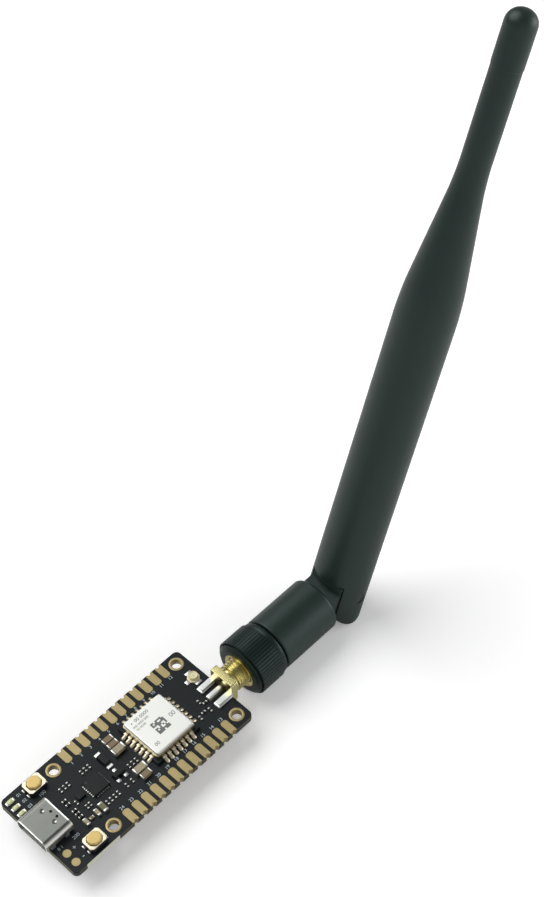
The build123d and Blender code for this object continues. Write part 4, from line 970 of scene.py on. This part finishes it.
class RADIO_OT_jack(bpy.types.Operator):
    """Build the threaded jack and the solder on its legs"""

    bl_idname = "radio.jack"
    bl_label = "Antenna jack"

    def execute(self, context):
        flange_end = board_high.x + 1.7 * MM
        self.flange(flange_end)
        self.legs()
        self.barrel(context.scene.radio_antenna, flange_end / MM - 0.1)
        self.solder()
        return {"FINISHED"}

    def flange(self, flange_end):
        """The square flange that meets the end of the board"""
        low, high = node_box("jack_body")
        half = (high.y - low.y) / 2
        bm = bmesh.new()
        block(bm, (board_high.x, jack_centre.y - half, jack_centre.z - half),
              (flange_end, jack_centre.y + half, jack_centre.z + half))
        rounded_off(bm, edges_along(bm, 0), 0.35 * MM, 3)
        piece(bm, "jack_flange", "jack", BOARD, ("jack_body",), soft=0.12 * MM, steps=3)

    def legs(self):
        """Two legs above the board and two below"""
        leg_reach = 3.7 * MM
        leg_half = 0.635 * MM
        legs = bmesh.new()
        for side in (-1, 1):
            y = jack_centre.y + side * leg_offset
            for bottom, top in ((board_top, board_top + MM), (board_low.z - MM, board_low.z)):
                block(legs, (board_high.x - leg_reach, y - leg_half, bottom),
                      (board_high.x + 0.2 * MM, y + leg_half, top))
        piece(legs, "jack_legs", "solder", BOARD, (), soft=0.1 * MM, steps=3)

    def barrel(self, settings, start):
        """The threaded barrel"""
        end = node_box("jack_body")[1].x / MM
        bore, crest = 2.3, 3.12
        root = crest - settings.thread_depth / MM
        neck = start + 0.75
        stations = [(start, bore), (start, root), (neck, root)]
        stations += thread(neck, end - 0.3, settings.thread_pitch / MM, root, crest)
        stations += [(end - 0.15, root), (end, root - 0.15), (end, bore)]
        piece(turned(stations, jack_place, 72), "jack_barrel", "jack", BOARD, (), smooth=30)

    def solder(self):
        """Solder banks beside the outer legs and over the centre contact"""
        bank_reach, bank_half, bank_height = 4.15 * MM, 0.9 * MM, 0.5 * MM
        tail_reach, tail_half, tail_height = 4.2 * MM, 0.62 * MM, 0.85 * MM
        banks = bmesh.new()
        for side in (-1, 1):
            y = jack_centre.y + side * leg_offset
            block(banks, (board_high.x - bank_reach, y - bank_half, board_top),
                  (board_high.x - 0.05 * MM, y + bank_half, board_top + bank_height))
        piece(banks, "leg_solder_banks", "solder", BOARD, ("leg_solder",), soft=0.24 * MM,
              steps=4)
        tail = bmesh.new()
        block(tail, (board_high.x - tail_reach, jack_centre.y - tail_half, board_top),
              (board_high.x - 0.1 * MM, jack_centre.y + tail_half, board_top + tail_height))
        piece(tail, "tail_solder", "solder", BOARD, (), soft=0.3 * MM, steps=4)


class RADIO_OT_nut(bpy.types.Operator):
    """Build the knurled coupling nut and its threaded insert"""

    bl_idname = "radio.nut"
    bl_label = "Coupling nut"

    def execute(self, context):
        settings = context.scene.radio_antenna
        low, high = node_box("nut_sleeve")
        front, rear = low.x / MM, high.x / MM
        knurl_start, knurl_end = front + 0.9, rear - 1.3
        self.body(front, rear, knurl_start, knurl_end)
        self.knurl(settings, knurl_start, knurl_end)
        self.bush(settings, front, rear)
        return {"FINISHED"}

    def body(self, front, rear, knurl_start, knurl_end):
        """The sleeve, with a groove for the knurled band"""
        bore, face, band = insert_radius, 5.4, 6.4
        groove, floor = band - 0.35, band - 0.2
        lip = front + 0.6
        bm = turned([(front, bore), (front, face, 0.3, 3), (lip, band, 0.18, 3), (lip, groove),
                     (knurl_start, groove), (knurl_start, floor), (knurl_end, floor),
                     (knurl_end, band, 0.06, 2), (rear, band, 0.35, 4), (rear, bore)], jack_place, 120)
        piece(bm, "nut_body", "nut", NUT, ("nut_sleeve",))

    def knurl(self, settings, start, end):
        """A band with every other face pressed in"""
        crest, land, wall = 6.5 * MM, 0.13 * MM, 0.25 * MM
        ribs = bmesh.new()
        bmesh.ops.create_circle(ribs, cap_ends=False, segments=settings.flute_count * 2, radius=crest)
        made = bmesh.ops.extrude_edge_only(ribs, edges=ribs.edges[:])["geom"]
        bmesh.ops.translate(ribs, vec=(0, 0, (end - start) * MM), verts=vertices(made))
        bmesh.ops.recalc_face_normals(ribs, faces=ribs.faces)
        across = Vector((1, 0))
        sides = sorted(ribs.faces, key=lambda f: -f.calc_center_median().to_2d().angle_signed(across))
        bmesh.ops.inset_individual(ribs, faces=sides[::2], thickness=land, depth=-settings.flute_depth,
                                   use_even_offset=True)
        place = jack_place @ Matrix.Translation((0, 0, start * MM))
        bmesh.ops.transform(ribs, matrix=place, verts=ribs.verts)
        bmesh.ops.recalc_face_normals(ribs, faces=ribs.faces)
        bmesh.ops.solidify(ribs, geom=ribs.faces[:], thickness=wall)
        piece(ribs, "nut_knurl", "nut", NUT, (), smooth=25)

    def bush(self, settings, front, rear):
        """The threaded insert with its groove for the retaining ring"""
        bore, neck, groove = 3.2, 2.68, 3.04
        wall = node_box("nut_insert")[1].x / MM - 2.1
        groove_start = wall + 0.5
        groove_end = groove_start + 0.66
        stations = [(front, insert_radius), (front, bore + 0.4, 0.05, 2)]
        stations += thread(front + 0.4, wall - 0.5, settings.thread_pitch / MM, bore, bore + 0.28)
        stations += [(wall, bore), (wall, neck), (groove_start, neck), (groove_start, groove),
                     (groove_end, groove), (groove_end, neck), (rear, neck), (rear, insert_radius)]
        piece(turned(stations, jack_place, 72), "nut_bush", "brass", NUT, ("nut_insert",),
              smooth=30)


class RADIO_OT_swivel(bpy.types.Operator):
    """Build the swivel base with its round-ended tongue"""

    bl_idname = "radio.swivel"
    bl_label = "Swivel base"

    def execute(self, context):
        radius, bore, neck = 6.35, 3.9, 2.68
        length, front_wall, rear_wall = 15.2, 2.3, 2.2
        low, high = node_box("swivel_base")
        front = low.x / MM
        shoulder = front + length
        bore_start, bore_end = front + front_wall, shoulder - rear_wall
        bm = turned([(front, neck), (front, radius, 0.4, 4), (shoulder, radius, 0.85, 6), (shoulder, 0),
                     (bore_end, 0), (bore_end, bore), (bore_start, bore), (bore_start, neck)],
                    jack_place, 120)
        piece(bm, "swivel_barrel", "antenna", SWIVEL, ("swivel_base",))
        self.tongue(radius - 0.03, shoulder - 1.2, high.x / MM + 2)
        return {"FINISHED"}

    def tongue(self, radius, start, end):
        """A round bar trimmed to the outline of the tongue"""
        half_width = 4.15 * MM
        pin_bore = 1.3 * MM
        head = 5.45 * MM
        neck_top = 3.4 * MM
        neck_reach = 8.6 * MM
        bar = turned([(start, 0), (start, radius), (end, radius), (end, 0)], jack_place, 120)
        outline = bmesh.new()
        rod(outline, head, -half_width, 2 * half_width, pin_place, 96)
        bed = bmesh.new()
        block(bed, (pin_centre.x - neck_reach, pin_centre.y - half_width, pin_centre.z - head),
              (pin_centre.x, pin_centre.y + half_width, pin_centre.z + neck_top))
        outline_thing = worked(loose(outline, "outline"), joins=(loose(bed, "bed"),))
        bore = bmesh.new()
        rod(bore, pin_bore, -past_ears, 2 * past_ears, pin_place, 48)
        piece(bar, "swivel_tongue", "antenna", SWIVEL, (), keeps=(outline_thing,),
              cuts=(loose(bore, "bore"),), soft=0.22 * MM, steps=3, crease=30)


def leaning_block(low, high, name):
    """A block in the whip's own space, for use as a cutter"""
    bm = bmesh.new()
    block(bm, low, high)
    bmesh.ops.transform(bm, matrix=whip_place, verts=bm.verts)
    return loose(bm, name)


class RADIO_OT_whip(bpy.types.Operator):
    """Build the tapered whip with its two ears, and the rounded tip"""

    bl_idname = "radio.whip"
    bl_label = "Whip and tip"

    def execute(self, context):
        cap_seat = 125.1
        self.moulding(cap_seat)
        self.tip(cap_seat)
        return {"FINISHED"}

    def moulding(self, cap_seat):
        """The tapered tube over two ears, with the slot that takes the tongue"""
        radius, thin, wall = 6.43, 3.1, 1.5
        ear, pin_bore, bed_end = 7.0, 1.25, 140
        taper_start, taper_end = 74.3, 101.7
        bore_floor, bore_narrows, narrow_start, narrow_bore = 9.0, 68.0, 98.0, 1.9
        bm = turned([(-ear - 1, 0), (-ear - 1, radius), (taper_start, radius, 4.6, 14),
                     (taper_end, thin, 4.0, 14), (cap_seat, thin), (cap_seat, narrow_bore),
                     (narrow_start, narrow_bore), (bore_narrows, radius - wall),
                     (bore_floor, radius - wall), (bore_floor, 0)], whip_place, 128)
        ears = bmesh.new()
        rod(ears, ear * MM, -past_ears, 2 * past_ears, pin_place, 128)
        above = leaning_block((-ear * MM, -past_ears, 0), (ear * MM, past_ears, bed_end * MM), "ear_bed")
        outline = worked(loose(ears, "ears"), joins=(above,))
        bore = bmesh.new()
        rod(bore, pin_bore * MM, -past_ears, 2 * past_ears, pin_place, 48)
        piece(bm, "whip_moulding", "antenna", WHIP, ("whip_sleeve",), keeps=(outline,),
              cuts=(self.gap(), loose(bore, "bore")), soft=0.2 * MM, steps=3, crease=30)

    def gap(self):
        """The slot: round about the pin, deeper at the front than at the rear"""
        half_width = 4.4 * MM
        radius = 5.75 * MM
        front_depth, rear_depth = 3.7 * MM, 2.2 * MM
        below = -12 * MM
        slot = bmesh.new()
        rod(slot, radius, -half_width, 2 * half_width, pin_place, 96)
        front = leaning_block((-past_ears, -half_width, below), (MM, half_width, front_depth), "front")
        rear = leaning_block((-MM, -half_width, below), (past_ears, half_width, rear_depth), "rear")
        return worked(loose(slot, "slot"), joins=(front, rear))

    def tip(self, cap_seat):
        """The rounded cap with its plug in the end of the whip"""
        plug_start, plug, cap, top = cap_seat - 6, 1.87, 3.2, 136.2
        bm = turned([(plug_start, 0), (plug_start, plug), (cap_seat, plug), (cap_seat, cap, 0.12, 3),
                     (top, cap, 2.9, 12), (top, 0)], whip_place, 96)
        piece(bm, "whip_tip", "antenna", WHIP, ("tip_cap",))


class RADIO_OT_markings(bpy.types.Operator):
    """Print the pad numbers and the plain marks on the board"""

    bl_idname = "radio.markings"
    bl_label = "Markings"

    def execute(self, context):
        size = context.scene.radio_board.label_height
        printed = bmesh.new()
        for index, x in enumerate(pad_columns()):
            lettering(printed, str(index + 1), x, board_high.y - 4.05 * MM, board_top, size)
            lettering(printed, str(2 * pads_in_row - index), x, board_low.y + 4.1 * MM, board_top, size)
        self.mark(printed, "+", 3.8, 4.6, 1.5)
        self.mark(printed, "-", 3.8, 2.1, 1.9)
        self.mark(printed, "01", 3.9, 21.4, 1.0)
        self.mark(printed, "02", 3.9, 19.6, 1.0)
        self.mark(printed, "03", 3.9, 17.9, 1.0)
        self.mark(printed, "100", 7.4, 18.2, 1.1)
        self.mark(printed, "200", 5.7, 6.2, 1.1)
        self.mark(printed, "0 1", 1.8, 6.5, 1.0)
        piece(printed, "board_numbers", "marking", BOARD, ())
        return {"FINISHED"}

    def mark(self, printed, words, along, across, size):
        """Plain figures at a place in mm from the socket corner of the board"""
        lettering(printed, words, board_low.x + along * MM, board_low.y + across * MM, board_top, size * MM)


class RADIO_OT_stage(bpy.types.Operator):
    """Set the pale floor, the soft lamps, the sky and the camera"""

    bl_idname = "radio.stage"
    bl_label = "Stage"

    def execute(self, context):
        scene = context.scene
        settings = scene.radio_stage
        self.floor(scene, settings)
        self.sky(scene, settings)
        self.lamps(scene, settings)
        self.camera(scene, settings)
        scene.view_settings.view_transform = "Standard"
        return {"FINISHED"}

    def floor(self, scene, settings):
        """A wide sheet of pale paper at the height of the lowest piece"""
        half_width = 2.0
        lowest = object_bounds()[0][2]
        bm = bmesh.new()
        bmesh.ops.create_grid(bm, x_segments=2, y_segments=2, size=half_width,
                              matrix=Matrix.Translation((0, 0, lowest)))
        mesh = bpy.data.meshes.new("floor")
        bm.to_mesh(mesh)
        bm.free()
        floor = bpy.data.objects.new("floor", mesh)
        scene.collection.objects.link(floor)
        floor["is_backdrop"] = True
        mesh.materials.append(self.paper(settings))

    def paper(self, settings):
        """Pale paper that the camera sees whiter than the light that falls on it makes it"""
        paper = bpy.data.materials.new("floor_paper")
        paper.use_nodes = True
        tree = paper.node_tree
        white = (1, 1, 1, 1)
        seen = added(tree, "LightPath", {}).outputs["Is Camera Ray"]
        sockets = {
            "Base Color": mixed(tree, seen, shaded(settings.floor_colour, 0.97), white),
            "Roughness": 0.9,
            "Specular IOR Level": 0.1,
            "Emission Color": white,
            "Emission Strength": reckoned(tree, "MULTIPLY", seen, settings.floor_lift),
        }
        shader = tree.nodes["Principled BSDF"]
        for socket, value in sockets.items():
            fed(tree, shader.inputs[socket], value)
        return paper

    def sky(self, scene, settings):
        """A sky that is bright in front, dim behind and above, and white where it is seen"""
        turn = 0.7
        world = bpy.data.worlds.new("sky")
        scene.world = world
        world.use_nodes = True
        tree = world.node_tree
        seen = added(tree, "LightPath", {}).outputs["Is Camera Ray"]
        space = added(tree, "TexCoord", {})
        split = added(tree, "SeparateXYZ", {"Vector": space.outputs["Generated"]})
        horizon = ranged(tree, split.outputs["Y"],
                         {"From Min": -turn, "From Max": turn, "To Min": settings.sky_strength,
                          "To Max": settings.back_strength})
        fade = ranged(tree, split.outputs["Z"], {"To Min": horizon, "To Max": settings.zenith_strength})
        background = tree.nodes["Background"]
        fed(tree, background.inputs["Color"], (1, 1, 1, 1))
        fed(tree, background.inputs["Strength"], ranged(tree, seen, {"To Min": fade, "To Max": 1.0}))

    def lamps(self, scene, settings):
        """A wide key from behind the board and a low soft lamp on the right"""
        aim = Vector((0.02, 0.0, 0.03))
        key_place = Vector((-0.20, 1.05, 1.25))
        side_place = Vector((0.62, -0.46, 0.12))
        key = bpy.data.lights.new("key_lamp", "SUN")
        key.energy = settings.key_strength
        key.angle = settings.key_width
        side = bpy.data.lights.new("side_lamp", "AREA")
        side.shape = "SQUARE"
        side.size = 0.55
        side.energy = settings.side_power
        for light, place in ((key, key_place), (side, side_place)):
            lamp = bpy.data.objects.new(light.name, light)
            lamp.location = place
            lamp.rotation_euler = (place - aim).to_track_quat("Z", "Y").to_euler()
            scene.collection.objects.link(lamp)

    def camera(self, scene, settings):
        """The camera where the picture was taken from"""
        place = (-0.1191498, -0.1569187, 0.3372598)
        pitch, roll, heading = 39.02904, 0.817988, -46.18091
        lens = bpy.data.cameras.new("camera")
        lens.sensor_fit = "VERTICAL"
        lens.sensor_height = 36.0
        lens.lens = settings.focal_length
        lens.clip_start = 0.01
        camera = bpy.data.objects.new("camera", lens)
        camera.location = place
        camera.rotation_euler = (radians(pitch), radians(roll), radians(heading))
        scene.collection.objects.link(camera)
        scene.camera = camera


class RADIO_PT_panel(bpy.types.Panel):
    """The operators and settings of the radio board"""

    bl_idname = "RADIO_PT_panel"
    bl_label = "Radio board"
    bl_space_type = "VIEW_3D"
    bl_region_type = "UI"
    bl_category = "Radio board"

    def draw(self, context):
        layout = self.layout
        scene = context.scene
        for settings in (scene.radio_board, scene.radio_antenna, scene.radio_stage):
            box = layout.box()
            for name in settings.bl_rna.properties.keys():
                if name not in {"rna_type", "name"}:
                    box.prop(settings, name)
        for operator in operators:
            layout.operator(operator.bl_idname)


operators = (
    RADIO_OT_finishes,
    RADIO_OT_laminate,
    RADIO_OT_gold,
    RADIO_OT_socket,
    RADIO_OT_switches,
    RADIO_OT_lamps,
    RADIO_OT_module,
    RADIO_OT_small_parts,
    RADIO_OT_receptacle,
    RADIO_OT_jack,
    RADIO_OT_nut,
    RADIO_OT_swivel,
    RADIO_OT_whip,
    RADIO_OT_markings,
    RADIO_OT_stage,
)
groups = (BoardSettings, AntennaSettings, StageSettings)


def register():
    for kind in groups + operators + (RADIO_PT_panel,):
        bpy.utils.register_class(kind)
    bpy.types.Scene.radio_board = bpy.props.PointerProperty(type=BoardSettings)
    bpy.types.Scene.radio_antenna = bpy.props.PointerProperty(type=AntennaSettings)
    bpy.types.Scene.radio_stage = bpy.props.PointerProperty(type=StageSettings)


def unregister():
    del bpy.types.Scene.radio_stage
    del bpy.types.Scene.radio_antenna
    del bpy.types.Scene.radio_board
    for kind in reversed(groups + operators + (RADIO_PT_panel,)):
        bpy.utils.unregister_class(kind)


def main():
    register()
    bpy.ops.radio.finishes()
    bpy.ops.radio.laminate()
    bpy.ops.radio.gold()
    bpy.ops.radio.socket()
    bpy.ops.radio.switches()
    bpy.ops.radio.lamps()
    bpy.ops.radio.module()
    bpy.ops.radio.small_parts()
    bpy.ops.radio.receptacle()
    bpy.ops.radio.jack()
    bpy.ops.radio.nut()
    bpy.ops.radio.swivel()
    bpy.ops.radio.whip()
    bpy.ops.radio.markings()
    bpy.ops.radio.stage()


if __name__ == "__main__":
    main()
